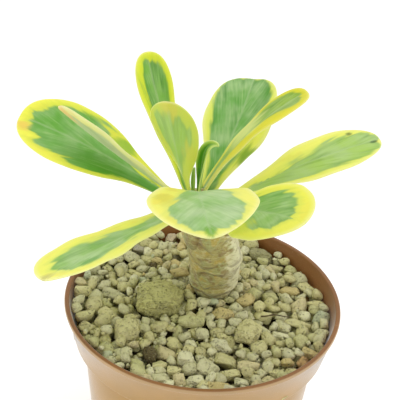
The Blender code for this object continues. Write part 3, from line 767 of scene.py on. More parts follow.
class EUPHORBIA_OT_pot(bpy.types.Operator):
    """Make the round plastic pot with its lip, collar, foot ring and drain holes"""
    bl_idname = "euphorbia.pot"
    bl_label = "Pot"

    def execute(self, context):
        settings = context.scene.euphorbia_pot
        pot = turned("plastic_pot", pot_outline(), settings.sides, pot_material(settings))
        bm = bmesh.new()
        for index in range(DRAIN_COUNT):
            angle = math.tau * (index + 0.5) / DRAIN_COUNT
            made = bmesh.ops.create_cone(bm, cap_ends=True, segments=DRAIN_SIDES, radius1=DRAIN_RADIUS,
                                         radius2=DRAIN_RADIUS, depth=3 * FLOOR_TOP)
            offset = Vector((math.cos(angle), math.sin(angle), 0.0)) * DRAIN_CIRCLE_RADIUS
            bmesh.ops.translate(bm, verts=made["verts"], vec=offset)
        drains = add_object("drain_holes", mesh_from(bm, "drain_holes"))
        cut = pot.modifiers.new("Drain holes", "BOOLEAN")
        cut.operation = "DIFFERENCE"
        cut.object = drains
        freeze(pot)
        bpy.data.objects.remove(drains, do_unlink=True)
        pot.data.shade_smooth()
        pot.data.set_sharp_from_angle(angle=math.radians(40))
        declare(pot, "pot")
        return {"FINISHED"}


def bed_height(x, y):
    """The height of the gravel's bed: a slight fall and a low mound round the trunk, as in the part."""
    away = ((x - TRUNK_FOOT[0]) ** 2 + (y - TRUNK_FOOT[1]) ** 2) / MOUND_REACH ** 2
    return BED_EDGE_HEIGHT - BED_SLOPE * x + MOUND_HEIGHT * np.exp(-away)


def boulder(seed, subdivisions, faces, ruggedness, boxiness):
    """A stone one unit in radius: a ball pushed towards a box, cut to flat faces and roughened."""
    draw = random.Random(seed)
    bm = bmesh.new()
    bmesh.ops.create_icosphere(bm, subdivisions=subdivisions, radius=1.0)
    cuts = []
    for _ in range(STONE_CUTS):
        away = Vector([draw.gauss(0, 1) for _ in range(3)]).normalized()
        cuts.append((away, draw.uniform(*faces)))
    shift = Vector([draw.uniform(-50, 50) for _ in range(3)])
    for vertex in bm.verts:
        spot = Vector([math.copysign(abs(value) ** boxiness, value) for value in vertex.co])
        for away, limit in cuts:
            over = spot.dot(away) - limit
            if over > 0:
                spot -= away * over
        bumps = noise.noise(spot * 1.3 + shift) + 0.5 * noise.noise(spot * 3.1 + shift)
        if subdivisions > 3:
            bumps += sum(4.5 / pitch * noise.noise(spot * pitch + shift) for pitch in BUMP_PITCHES)
        vertex.co = spot * (1.0 + ruggedness * bumps)
    reach = [max(abs(vertex.co[axis]) for vertex in bm.verts) for axis in range(3)]
    for vertex in bm.verts:
        vertex.co = [value / far for value, far in zip(vertex.co, reach)]
    return bm


class Heap:
    """The surface of the gravel as a grid of heights, on which grains come to rest."""

    def __init__(self):
        cells = int(2 * RIM_RADIUS / CELL) + 2
        line = (np.arange(cells) - (cells - 1) / 2) * CELL
        self.first = line[0]
        self.x, self.y = np.meshgrid(line, line, indexing="ij")
        self.height = bed_height(self.x, self.y) - FILL_DEPTH
        wall = wall_radius(POT_HEIGHT - WALL_CHECK)
        from_trunk = np.hypot(self.x - TRUNK_FOOT[0], self.y - TRUNK_FOOT[1])
        self.taken = (np.hypot(self.x, self.y) > wall) | (from_trunk < TRUNK_ROOM)

    def shape(self, x, y, size, turn):
        """The cells under a grain of that size and turn, and how low and high it reaches in each."""
        spin = np.array(Euler(turn).to_matrix())
        spread = spin @ np.diag((np.array(size) / 2) ** 2) @ spin.T
        flat = np.linalg.inv(spread[:2, :2])
        lean = spread[2, :2] @ flat
        tall = math.sqrt(max(spread[2, 2] - lean @ spread[:2, 2], 0.0))
        reach = np.sqrt(np.diag(spread)[:2])
        low = [max(int((spot - far - self.first) / CELL) + 1, 0) for spot, far in zip((x, y), reach)]
        high = [int((spot + far - self.first) / CELL) + 1 for spot, far in zip((x, y), reach)]
        block = (slice(low[0], high[0]), slice(low[1], high[1]))
        across, along = self.x[block] - x, self.y[block] - y
        inside = flat[0, 0] * across ** 2 + 2 * flat[0, 1] * across * along + flat[1, 1] * along ** 2
        middle = lean[0] * across + lean[1] * along
        half = tall * np.sqrt(np.clip(1 - inside, 0, 1))
        return block, inside < 1, middle - half, middle + half

    def rest(self, x, y, size, turn, room=0.05):
        """The height at which a grain comes to rest, or None where a wall is in its way."""
        block, inside, low, _ = self.shape(x, y, size, turn)
        covered = self.taken[block][inside]
        if covered.size < 4 or covered.mean() > room:
            return None
        return float(np.quantile(self.height[block][inside] - low[inside], CONTACT))

    def add(self, x, y, z, size, turn, keep_clear=False):
        """Lay a grain down: the heap rises to its top."""
        block, inside, _, high = self.shape(x, y, size, turn)
        raised = np.where(inside, high + z, -1.0)
        self.height[block] = np.maximum(self.height[block], raised)
        if keep_clear:
            self.taken[block] |= inside


def crown_height(x, y):
    """How high the grains' tops may reach."""
    return bed_height(x, y) + CROWN_OVER_BED + WALL_RISE * (math.hypot(x, y) / RIM_RADIUS) ** 3


def inside_wall(x, y, size, turn, lift):
    """A grain's spot, moved in where it would touch the pot's wall at its height over the bed."""
    spin = np.array(Euler(turn).to_matrix())
    far = max(math.hypot(x, y), MM)
    outward = spin.T @ (x / far, y / far, 0.0)
    reach = CORNER_REACH * math.sqrt(((outward * np.array(size) / 2) ** 2).sum())
    room = wall_radius(bed_height(x, y) + lift) - WALL_ROOM - reach
    return (x, y) if far < room else (x * room / far, y * room / far)


def grain_turn(draw, heading=None, tilt=0.35):
    """How a grain lies: nearly flat, turned any way or to a heading."""
    around = draw.uniform(0, math.tau) if heading is None else math.radians(heading)
    return (draw.gauss(0, tilt), draw.gauss(0, tilt), around)


def grain_tone(draw, name=None):
    """The colour of a grain, a little lighter or darker than its kind."""
    if name is None:
        name = draw.choices(list(TONE_SHARES), list(TONE_SHARES.values()))[0]
    light = draw.uniform(0.93, 1.07)
    return [min(value * light, 1.0) for value in rgb(*TONES[name])]


def heap_grains(settings):
    """Drop the grains one by one and return their places, sizes, turns and colours."""
    draw = random.Random(settings.seed)
    heap = Heap()
    noted, laid = [], []

    def lay(x, y, z, size, turn, tone, stands_out=False):
        """Lay a grain on the heap and note it."""
        heap.add(x, y, z, size, turn, stands_out)
        (noted if stands_out else laid).append(((x, y, z), size, turn, tone))

    def spots(number):
        """Random places, evenly spread over the pot."""
        for _ in range(number):
            far = SPOTS_REACH * math.sqrt(draw.random())
            angle = draw.uniform(0, math.tau)
            yield far * math.cos(angle), far * math.sin(angle)

    def random_size(low, high):
        """The length, width and height of a grain whose length lies in a range."""
        long = draw.uniform(low, high)
        return (long, long * draw.uniform(*GRAIN_WIDTHS), long * draw.uniform(*GRAIN_HEIGHTS))

    def best_spot(size, turn, tries, lift=MEETING_HEIGHT):
        """The lowest of some random places at which a grain comes to rest."""
        found = []
        for x, y in spots(tries):
            x, y = inside_wall(x, y, size, turn, lift)
            z = heap.rest(x, y, size, turn)
            if z is not None:
                found.append((z - crown_height(x, y), x, y, z))
        return min(found)[1:] if found else None

    for _ in range(settings.under):
        size, turn = random_size(settings.small * 1.3, settings.large), grain_turn(draw, tilt=0.6)
        spot = best_spot(size, turn, tries=4, lift=-FILL_DEPTH)
        if spot and spot[2] < bed_height(*spot[:2]) - 0.4 * size[2]:
            lay(*spot, size, turn, grain_tone(draw))
    for stone in STONES:
        size = [STONE_CLOSENESS * value * MM for value in stone.size]
        turn = [math.radians(value) for value in stone.turn]
        heap.add(*stone_spot(stone), size, turn, keep_clear=True)
    for x, y, long, thick, heading, tone in NOTED_GRAINS:
        x, y, size = x * MM, y * MM, (long * MM, thick * MM, NOTED_HEIGHT * min(long, thick) * MM)
        turn = grain_turn(draw, heading, tilt=0.12)
        x, y = inside_wall(x, y, size, turn, MEETING_HEIGHT)
        z = heap.rest(x, y, size, turn, room=0.3)
        if z is not None:
            top = crown_height(x, y) - 0.5 * size[2]
            lay(x, y, min(max(z, top - NOTED_SINK), top), size, turn, grain_tone(draw, tone), True)
    for step in range(settings.tries):
        shrink = 1.0 - GRAIN_SHRINK * step / settings.tries
        largest = settings.small + (settings.large - settings.small) * shrink
        size = random_size(settings.small, largest)
        turn = grain_turn(draw)
        spot = best_spot(size, turn, tries=7)
        if spot and spot[2] + 0.45 * size[2] < crown_height(*spot[:2]) - 0.3 * MM:
            lay(*spot, size, turn, grain_tone(draw))
    crumbs = []
    for _ in range(settings.crumbs):
        size, turn = random_size(*CRUMB_SIZES), grain_turn(draw, tilt=1.0)
        spot = best_spot(size, turn, tries=9, lift=-2 * MM)
        if spot and spot[2] < crown_height(*spot[:2]) - 0.6 * CROWN_OVER_BED:
            heap.add(*spot, size, turn)
            crumbs.append((spot, size, turn, grain_tone(draw)))
    return noted, laid, crumbs


def grain_points(name, grains, kinds, draw):
    """A mesh of single points that carry the size, turn, colour and kind of their grains."""
    mesh = mesh_of([grain[0] for grain in grains], [], name)
    sizes = [FULLNESS / 2 * value for grain in grains for value in grain[1]]
    turns = [value for grain in grains for value in grain[2]]
    tones = [value for grain in grains for value in (*grain[3], 1.0)]
    numbers = [draw.randrange(kinds) for _ in grains]
    for key, kind, field, values in (("size", "FLOAT_VECTOR", "vector", sizes),
                                     ("turn", "FLOAT_VECTOR", "vector", turns),
                                     ("tone", "FLOAT_COLOR", "color", tones),
                                     ("kind", "INT", "value", numbers)):
        mesh.attributes.new(key, kind, "POINT").data.foreach_set(field, values)
    return mesh


def grain_tree():
    """A node tree that lays a stone of a collection on every point, roughens it and gives it its finish."""
    tree = bpy.data.node_groups.new("Lay grains", "GeometryNodeTree")
    for name, kind in (("Points", "Geometry"), ("Stones", "Collection"), ("Unevenness", "Float"),
                       ("Bumps per metre", "Float"), ("Finish", "Material")):
        tree.interface.new_socket(name, in_out="INPUT", socket_type="NodeSocket" + kind)
    tree.interface.new_socket("Grains", in_out="OUTPUT", socket_type="NodeSocketGeometry")

    def node(kind, settings=(), *values, **links):
        """Make a node: its settings, then what its sockets take in order, then by name."""
        made = tree.nodes.new(kind)
        for key, setting in dict(settings).items():
            setattr(made, key, setting)
        named = [(made.inputs[key.replace("_", " ")], value) for key, value in links.items()]
        for socket, value in [*zip(made.inputs, values), *named]:
            if isinstance(value, bpy.types.NodeSocket):
                tree.links.new(value, socket)
            else:
                socket.default_value = value
        return made.outputs

    def carried(kind, name):
        """What the points carry under a name."""
        return node("GeometryNodeInputNamedAttribute", {"data_type": kind}, Name=name)[0]

    given = node("NodeGroupInput")
    stones = node("GeometryNodeCollectionInfo", {"transform_space": "ORIGINAL"},
                  Collection=given["Stones"], Separate_Children=True, Reset_Children=True)
    laid = node("GeometryNodeInstanceOnPoints", Points=given["Points"], Instance=stones[0],
                Pick_Instance=True, Instance_Index=carried("INT", "kind"),
                Rotation=carried("FLOAT_VECTOR", "turn"), Scale=carried("FLOAT_VECTOR", "size"))
    loose = node("GeometryNodeRealizeInstances", Geometry=laid[0])
    bumps = node("ShaderNodeTexNoise", Scale=given["Bumps per metre"], Detail=1.0)
    centred = node("ShaderNodeMath", {"operation": "SUBTRACT"}, bumps[0], 0.5)
    lift = node("ShaderNodeMath", {"operation": "MULTIPLY"}, centred[0], given["Unevenness"])
    away = node("ShaderNodeVectorMath", {"operation": "SCALE"}, Vector=node("GeometryNodeInputNormal")[0],
                Scale=lift[0])
    rough = node("GeometryNodeSetPosition", Geometry=loose[0], Offset=away[0])
    smooth = node("GeometryNodeSetShadeSmooth", Geometry=rough[0], Shade_Smooth=True)
    finished = node("GeometryNodeSetMaterial", Geometry=smooth[0], Material=given["Finish"])
    node("NodeGroupOutput", Grains=finished[0])
    return tree


def set_inputs(modifier, values):
    """Give the inputs of a Geometry Nodes modifier their values, by their names."""
    for item in modifier.node_group.interface.items_tree:
        if item.in_out == "INPUT" and item.name in values:
            modifier[item.identifier] = values[item.name]


def lay_grains(name, grains, stones, settings, finish, draw):
    """Make one piece of many grains: a stone on each grain's point, through Geometry Nodes."""
    collection = bpy.data.collections.new(name + "_kinds")
    for index, mesh in enumerate(stones):
        collection.objects.link(bpy.data.objects.new(f"{name}_kind_{index:02}", mesh))
    piece = add_object(name, grain_points(name, grains, len(stones), draw))
    modifier = piece.modifiers.new("Lay grains", "NODES")
    modifier.node_group = grain_tree()
    set_inputs(modifier, {"Stones": collection, "Unevenness": settings.roughness,
                          "Bumps per metre": BUMPS_PER_METRE, "Finish": finish})
    freeze(piece)
    for kind in list(collection.objects):
        bpy.data.objects.remove(kind, do_unlink=True)
    bpy.data.collections.remove(collection)
    declare(piece, "pumice_bed")


def pumice_material(name, settings, tone=None):
    """Porous stone: a tone of its own, mottled, with pits that painted shade darkens, pale dust on top and
    dark specks.
    """
    shader = Shader(name)
    where = shader.place()
    if tone:
        base = rgb(*TONES[tone])
    else:
        base = shader.node("ShaderNodeAttribute", {"attribute_name": "tone"})[0]
    mottle = shader.grain(where, 0.5, 3.0, 0.6)
    fine = shader.grain(where, 1.9, 4.0, 0.72)
    # Painted shade in the pores: the pits are darkened as well as sunk
    pits = shader.cells(where + shader.grain(where, 1.5) * 0.5, 1.3).falling(0.1, 0.42)
    pits = pits * shader.grain(where, 0.7, 1.0).rising(0.4, 0.6)
    base = shader.cover(base, (mottle.falling(0.3, 0.52) * (0.55 if tone else 0.3), settings.stain),
                        (pits * 0.32, settings.pits), (fine.rising(0.54, 0.7) * 0.4, settings.dust),
                        (fine.falling(0.3, 0.45) * 0.2, settings.stain))
    height = fine * 0.6 + mottle * 1.2 - pits * 0.9
    return shader.finish(base, 0.9, height, 0.6, Specular_IOR_Level=0.25)


class EUPHORBIA_OT_gravel(bpy.types.Operator):
    """Heap up the gravel: its fill, painted dark as the shade between the grains, the loose grains and the
    crumbs between them
    """
    bl_idname = "euphorbia.gravel"
    bl_label = "Gravel"

    def execute(self, context):
        settings = context.scene.euphorbia_gravel
        draw = random.Random(settings.seed + 1)
        finish = pumice_material("pumice_grains", settings)
        noted, grains, crumbs = heap_grains(settings)
        for name, group, kinds, fineness in (("gravel_noted", noted, PEBBLE_KINDS, 3),
                                             ("gravel_grains", grains, PEBBLE_KINDS, 2),
                                             ("gravel_crumbs", crumbs, CRUMB_KINDS, 1)):
            stones = [mesh_from(boulder(f"{name} {index}", fineness, GRAIN_FACES, GRAIN_RUGGEDNESS,
                                        GRAIN_BOXINESS), name) for index in range(kinds)]
            lay_grains(name, group, stones, settings, finish, draw)
        self.fill(settings)
        return {"FINISHED"}

    def fill(self, settings):
        """The fill below the grains, down to the pot's floor, painted dark as the shade seen between the
        grains.
        """
        edge_height = BED_EDGE_HEIGHT - FILL_DEPTH
        edge = collar_radius(edge_height) - WALL - GAP
        top = [(edge * ring / FILL_RINGS, edge_height) for ring in range(FILL_RINGS + 1)]
        wall_foot = [spot for spot in pot_inside(GAP) if spot[1] < edge_height]
        outline = top + wall_foot[::-1] + [(0.0, FLOOR_TOP + GAP)]
        # Painted shade: the dark tone stands for the shade in the gaps between the grains
        finish = pumice_material("gravel_fill", settings, "dark")
        fill = turned("gravel_fill", outline, FILL_SIDES, finish)
        freeze(fill)
        for vertex in fill.data.vertices:
            if vertex.co.z > edge_height - GAP:
                vertex.co.z = float(bed_height(vertex.co.x, vertex.co.y)) - FILL_DEPTH
        fill.data.shade_smooth()
        declare(fill, "pumice_bed")


def stone_spot(stone):
    """Where the middle of a large stone lies."""
    x, y = (value * MM for value in stone.place)
    return Vector((x, y, float(bed_height(x, y)) + STONE_LIFT * stone.size[2] * MM))


class EUPHORBIA_OT_stones(bpy.types.Operator):
    """Lay the large stones on the gravel"""
    bl_idname = "euphorbia.stones"
    bl_label = "Stones"

    def execute(self, context):
        settings = context.scene.euphorbia_gravel
        for stone in STONES:
            bm = boulder(stone.name, 6, STONE_FACES, stone.ruggedness, stone.boxiness)
            bmesh.ops.scale(bm, verts=bm.verts, vec=[value * MM / 2 for value in stone.size])
            turn = Euler([math.radians(value) for value in stone.turn]).to_matrix()
            bmesh.ops.rotate(bm, verts=bm.verts, matrix=turn)
            bmesh.ops.translate(bm, verts=bm.verts, vec=stone_spot(stone))
            slot = "lava" if stone.tone in ("dark", "dusk") else "pumice"
            finish = pumice_material(stone.name + "_" + slot, settings, stone.tone)
            piece = add_object(stone.name + "_rough", mesh_from(bm, stone.name), finish)
            piece.data.shade_smooth()
            declare(piece, stone.name)
        return {"FINISHED"}


def trunk_section(at):
    """The trunk's radius and height at a share of its outline from root to crown."""
    at = min(max(at, 0.0), 1.0)
    return [smooth_value([spot[axis] for spot in TRUNK_OUTLINE], at) for axis in (0, 1)]


def trunk_axis(height):
    """The trunk's middle at a height: upright, then bending left into the crown."""
    at = min(max((height - BEND_START) / (BEND_END - BEND_START), 0.0), 1.0)
    ease = at * at * (3 - 2 * at)
    return [foot + (crown - foot) * ease for foot, crown in zip(TRUNK_FOOT, CROWN)]


def scar_edge(row, angle):
    """The height of a row's lower edge: a wave that is turned over in every other row."""
    swing = SCAR_WAVE if row % 2 else -SCAR_WAVE
    return SCAR_START + row * SCAR_SPACING + swing * math.cos(SCAR_COLUMNS / 2 * angle)


def scar_relief(angle, height):
    """How far the leaf scars stand out, and where in its scar a spot lies: 0 at the lower edge, 1 above."""
    if not SCAR_START < height < SCAR_END:
        return 0.0, 0.5
    row = math.floor((height - SCAR_START) / SCAR_SPACING)
    row += (height >= scar_edge(row + 1, angle)) - (height < scar_edge(row, angle))
    lower = scar_edge(row, angle)
    tall = scar_edge(row + 1, angle) - lower
    at = (height - lower) / tall
    bulge = at / SCAR_PEAK if at < SCAR_PEAK else (1 - at) / (1 - SCAR_PEAK)
    fade = min(min(height - SCAR_START, SCAR_END - height) / SCAR_FADE, 1.0)
    relief = SCAR_RELIEF * (bulge ** SCAR_ROUNDNESS * tall / SCAR_SPACING - 0.5) * fade
    return relief, 0.5 + (at - 0.5) * fade


def trunk_material(settings):
    """Bark of old leaf scars: olive, brown and ochre patches, with painted shade in the soft creases and a
    painted highlight on the right side.
    """
    shader = Shader("scarred_bark")
    where = shader.place()
    x, y, z = where.parts()
    cloud = shader.grain(where * (1.0, 1.0, 1.5), 0.24, 3.0, 0.55)
    other = shader.grain(where + (40.0, 0.0, 0.0), 0.2, 3.0)
    streak = shader.grain(where * (1.0, 1.0, 3.0), 0.6, 4.0, 0.6)
    fine = shader.grain(where, 1.8, 5.0, 0.65)
    # Painted highlight: the bark pales towards the trunk's right side, where the light falls
    right_side_highlight = (x - TRUNK_FOOT[0] / MM) + (streak - 0.5) * 8 + (cloud - 0.5) * 8 - y * 0.1
    base = shader.cover(settings.bark, (other.rising(0.4, 0.58) * 0.8, settings.green),
                        (cloud.rising(0.53, 0.62) * 0.75, settings.ochre),
                        (cloud.falling(0.38, 0.47) * 0.7, settings.corky),
                        (z.falling(69.0, 73.0) * 0.5, settings.foot),
                        (right_side_highlight.rising(2.2, 6.0) * 0.9, settings.worn),
                        (streak.rising(0.5, 0.66) * 0.35, settings.worn),
                        (streak.falling(0.34, 0.46) * 0.4, settings.corky),
                        # Painted shade in the creases
                        (shader.number("crease") * 0.55, settings.crease),
                        (fine.rising(0.55, 0.72) * 0.3, settings.worn))
    height = streak + fine * 0.5
    return shader.finish(base, 0.6 + fine * 0.15, height, 0.3, Specular_IOR_Level=0.4, Sheen_Weight=0.2,
                         Sheen_Roughness=0.5)


def bark_point(angle, at):
    """A spot of the trunk's surface at an angle and a share of its outline, and how much painted shade its
    crease takes.
    """
    radius, height = trunk_section(at)
    spot = Vector((math.cos(angle), math.sin(angle), height / (8 * MM)))
    warp = 0.5 * noise.noise(spot * 1.3)
    lift = (2.4 * noise.noise(spot * 1.2 + Vector((9, 0, 0))) + 0.6 * noise.noise(spot * 3.4)) * MM
    relief, place = scar_relief(angle + warp, height + lift)
    strength = min(max(0.7 + 1.5 * noise.noise(spot * 1.5 + Vector((0, 7, 0))), 0.15), 1.25)
    # Painted shade: darkest where the scar rows meet
    crease = max(0.0, 1 - place / 0.3) if place < 0.5 else max(0.0, 1 - (1 - place) / 0.1)
    if radius > 0.5 * MM:
        ring = math.sin(math.tau * height / FOOT_RINGS_SPACING + 2.2 * noise.noise(spot * 1.4))
        low = min(max((FOOT_RINGS_END - height) / FOOT_RINGS_FADE, 0.0), 1.0)
        wrinkle = noise.noise(Vector((spot.x * 1.8, spot.y * 1.8, height / WRINKLE_SPACING)))
        radius += relief * strength + (0.3 * ring * low + 0.1 * wrinkle) * MM
        radius += (0.55 * noise.noise(spot * 1.9) + 0.12 * noise.noise(spot * 6.0)) * MM
        # Painted shade also fills the valleys of the rings at the foot
        crease = max(crease * min(strength, 1.0), 0.8 * low * max(0.0, -ring) ** 3)
    x, y = trunk_axis(height)
    return (x + radius * math.cos(angle), y + radius * math.sin(angle), height), crease


class EUPHORBIA_OT_trunk(bpy.types.Operator):
    """Make the swollen trunk with its rows of leaf scars"""
    bl_idname = "euphorbia.trunk"
    bl_label = "Trunk"

    def execute(self, context):
        settings = context.scene.euphorbia_trunk
        bm = bmesh.new()
        bmesh.ops.create_uvsphere(bm, u_segments=TRUNK_SIDES, v_segments=TRUNK_RINGS, radius=1.0)
        crease_shades = []
        for vertex in bm.verts:
            at = math.acos(max(-1.0, min(1.0, -vertex.co.z))) / math.pi
            vertex.co, crease = bark_point(math.atan2(vertex.co.y, vertex.co.x), at)
            crease_shades.append(crease)
        trunk = add_object("scarred_trunk", mesh_from(bm, "scarred_trunk"), trunk_material(settings))
        attach(trunk.data, "crease", crease_shades)
        trunk.data.shade_smooth()
        declare(trunk, "trunk")
        return {"FINISHED"}


def half_width(leaf, t):
    """Half the leaf's width at a share of its length, in metres."""
    full = 0.5 * leaf.width * MM
    if t <= leaf.widest:
        swell = math.sin(math.pi / 2 * (t / leaf.widest) ** SHOULDER) ** 2
        return full * (leaf.foot + (1 - leaf.foot) * swell)
    past = (t - leaf.widest) / (1 - leaf.widest)
    return full * max(1 - past ** leaf.roundness, 0.0) ** (1 / leaf.roundness)


def leaf_direction(leaf, t):
    """The heading and the slope of the midrib at a share of the leaf's length, in radians."""
    heading = math.radians(leaf.heading + leaf.swerve * t)
    rise = math.radians(leaf.rise + (leaf.tip_rise - leaf.rise) * t ** leaf.arch)
    return heading, rise


def leaf_frames(leaf, rows):
    """For each row of a leaf: its share of the length, its middle, its sideways and up vectors."""
    seat = math.radians(leaf.seat_angle)
    middle = Vector((CROWN[0] + leaf.seat_radius * MM * math.cos(seat),
                     CROWN[1] + leaf.seat_radius * MM * math.sin(seat), leaf.seat_height * MM))
    frames = []
    previous = None
    for row in range(rows + 1):
        t = 1 - (1 - row / rows) ** TIP_CROWDING
        heading, rise = leaf_direction(leaf, t)
        along = Vector((math.cos(rise) * math.cos(heading), math.cos(rise) * math.sin(heading),
                        math.sin(rise)))
        if previous:
            middle = middle + (along + previous[1]) / 2 * leaf.length * MM * (t - previous[0])
        level = Vector((-math.sin(heading), math.cos(heading), 0.0))
        twist = math.radians(leaf.twist + (leaf.tip_twist - leaf.twist) * t)
        upright = along.cross(level)
        side = level * math.cos(twist) + upright * math.sin(twist)
        frames.append((t, middle, side, along.cross(side)))
        previous = (t, along)
    return frames


class Blade:
    """The grid of a leaf: where each of its points lies in space, and where on the flat leaf."""

    def __init__(self, leaf, settings):
        self.leaf = leaf
        rows, columns = settings.rows, settings.columns
        grown = leaf.length > GROWN_LENGTH
        wave, groove = (settings.wave, settings.groove) if grown else (0.0, 0.0)
        across = self.spread = np.sin(np.linspace(-1, 1, columns + 1) * math.pi / 2)
        fold = math.radians(leaf.fold)
        seed = sum(map(ord, leaf.name))
        frames = leaf_frames(leaf, rows)
        self.t = np.array([entry[0] for entry in frames])
        reach = np.array([half_width(leaf, t) for t in self.t])
        strays = [noise.noise(Vector((t * 9.0, seed, 0.0))) for t in self.t]
        reach = reach * (1 + UNEVENNESS * np.array(strays))
        middle, side, up = (np.array([entry[index] for entry in frames])[:, None, :] for index in (1, 2, 3))
        a = across[None, :, None]
        half = reach[:, None, None]
        self.across = across[None, :] * reach[:, None] / MM
        self.along = np.repeat(self.t[:, None] * leaf.length, columns + 1, axis=1)
        swing = (np.sin(self.along / WAVE_PITCH + seed % 7 + 1.7 * np.sign(self.across))
                 * np.abs(across[None, :]) ** 3 * wave * np.sin(math.pi * self.t)[:, None])
        sheet = (middle + side * a * half * math.cos(fold)
                 + up * (np.abs(a) ** FOLD_CURVE * half * math.sin(fold) + swing[:, :, None]))
        lengthwise = np.gradient(sheet, axis=0)
        crosswise = np.gradient(sheet, axis=1)
        crosswise[-1] = crosswise[-2]
        normal = np.cross(lengthwise, crosswise)
        normal /= np.maximum(np.linalg.norm(normal, axis=2, keepdims=True), 1e-12)
        body = MARGIN_THICKNESS + (LEAF_THICKNESS - MARGIN_THICKNESS) * (1 - np.abs(across))
        body *= 1.0 if grown else YOUNG_THICKNESS
        edge = np.sqrt(1 - np.abs(across) ** 8)
        past = ((self.t - 1 + TIP_ROUNDING) / TIP_ROUNDING).clip(0, 1)
        end = np.sqrt(np.clip(1 - past ** 2, 0.02, 1))
        thick = 0.5 * (body * edge)[None, :] * end[:, None]
        rib = groove * np.exp(-(self.across / RIB_WIDTH) ** 2) * (1 - self.t[:, None]) ** 0.5
        self.top = sheet + normal * (thick - rib)[:, :, None]
        self.bottom = sheet - normal * (thick + rib * 0.9)[:, :, None]

    def outline_distance(self):
        """Each grid point's distance to the outline in millimetres, and where on the outline that is."""
        left = np.stack([self.across[:, -1], self.along[:, -1], 0.5 * self.t], axis=1)
        right = np.stack([self.across[:, 0], self.along[:, 0], 1 - 0.5 * self.t], axis=1)[::-1]
        rim = np.concatenate([left, right])
        fine = np.linspace(0, len(rim) - 1, 6 * len(rim))
        rim = np.stack([np.interp(fine, np.arange(len(rim)), rim[:, axis]) for axis in range(3)], axis=1)
        away = np.hypot(self.across[:, :, None] - rim[:, 0], self.along[:, :, None] - rim[:, 1])
        nearest = away.argmin(axis=2)
        return away.min(axis=2), rim[nearest, 2]

    def mesh(self, border):
        """The closed mesh of the leaf, with its flat map and the numbers that its finish needs."""
        rows, columns = self.across.shape[0] - 1, self.across.shape[1] - 1
        ring = [("top", column) for column in range(columns + 1)]
        ring += [("bottom", column) for column in range(columns - 1, 0, -1)]
        away, where = self.outline_distance()
        widths = np.vectorize(lambda at: smooth_value(border, at))(where)
        vertices, flat, depth, rim, under, span = [], [], [], [], [], []
        for row in range(rows + 1):
            for face, column in ring:
                vertices.append((self.top if face == "top" else self.bottom)[row, column])
                flat.append((self.across[row, column], self.along[row, column]))
                depth.append(away[row, column] - widths[row, column])
                rim.append(away[row, column])
                under.append(0.0 if face == "top" else 1.0)
                span.append(self.spread[column])
        around = len(ring)
        faces = [(row * around + index, row * around + (index + 1) % around,
                  (row + 1) * around + (index + 1) % around, (row + 1) * around + index)
                 for row in range(rows) for index in range(around)]
        faces.append(tuple(range(around))[::-1])
        faces.append(tuple(range(rows * around, (rows + 1) * around)))
        mesh = mesh_of(vertices, faces, self.leaf.name)
        for name, values in (("depth", depth), ("rim", rim), ("under", under), ("span", span)):
            attach(mesh, name, values)
        uv = mesh.uv_layers.new(name="Flat")
        corners = np.empty(len(mesh.loops), dtype=np.int32)
        mesh.loops.foreach_get("vertex_index", corners)
        uv.data.foreach_set("uv", (np.array(flat)[corners] / FLAT_SCALE).ravel())
        turn_outwards(mesh)
        mesh.shade_smooth()
        return mesh


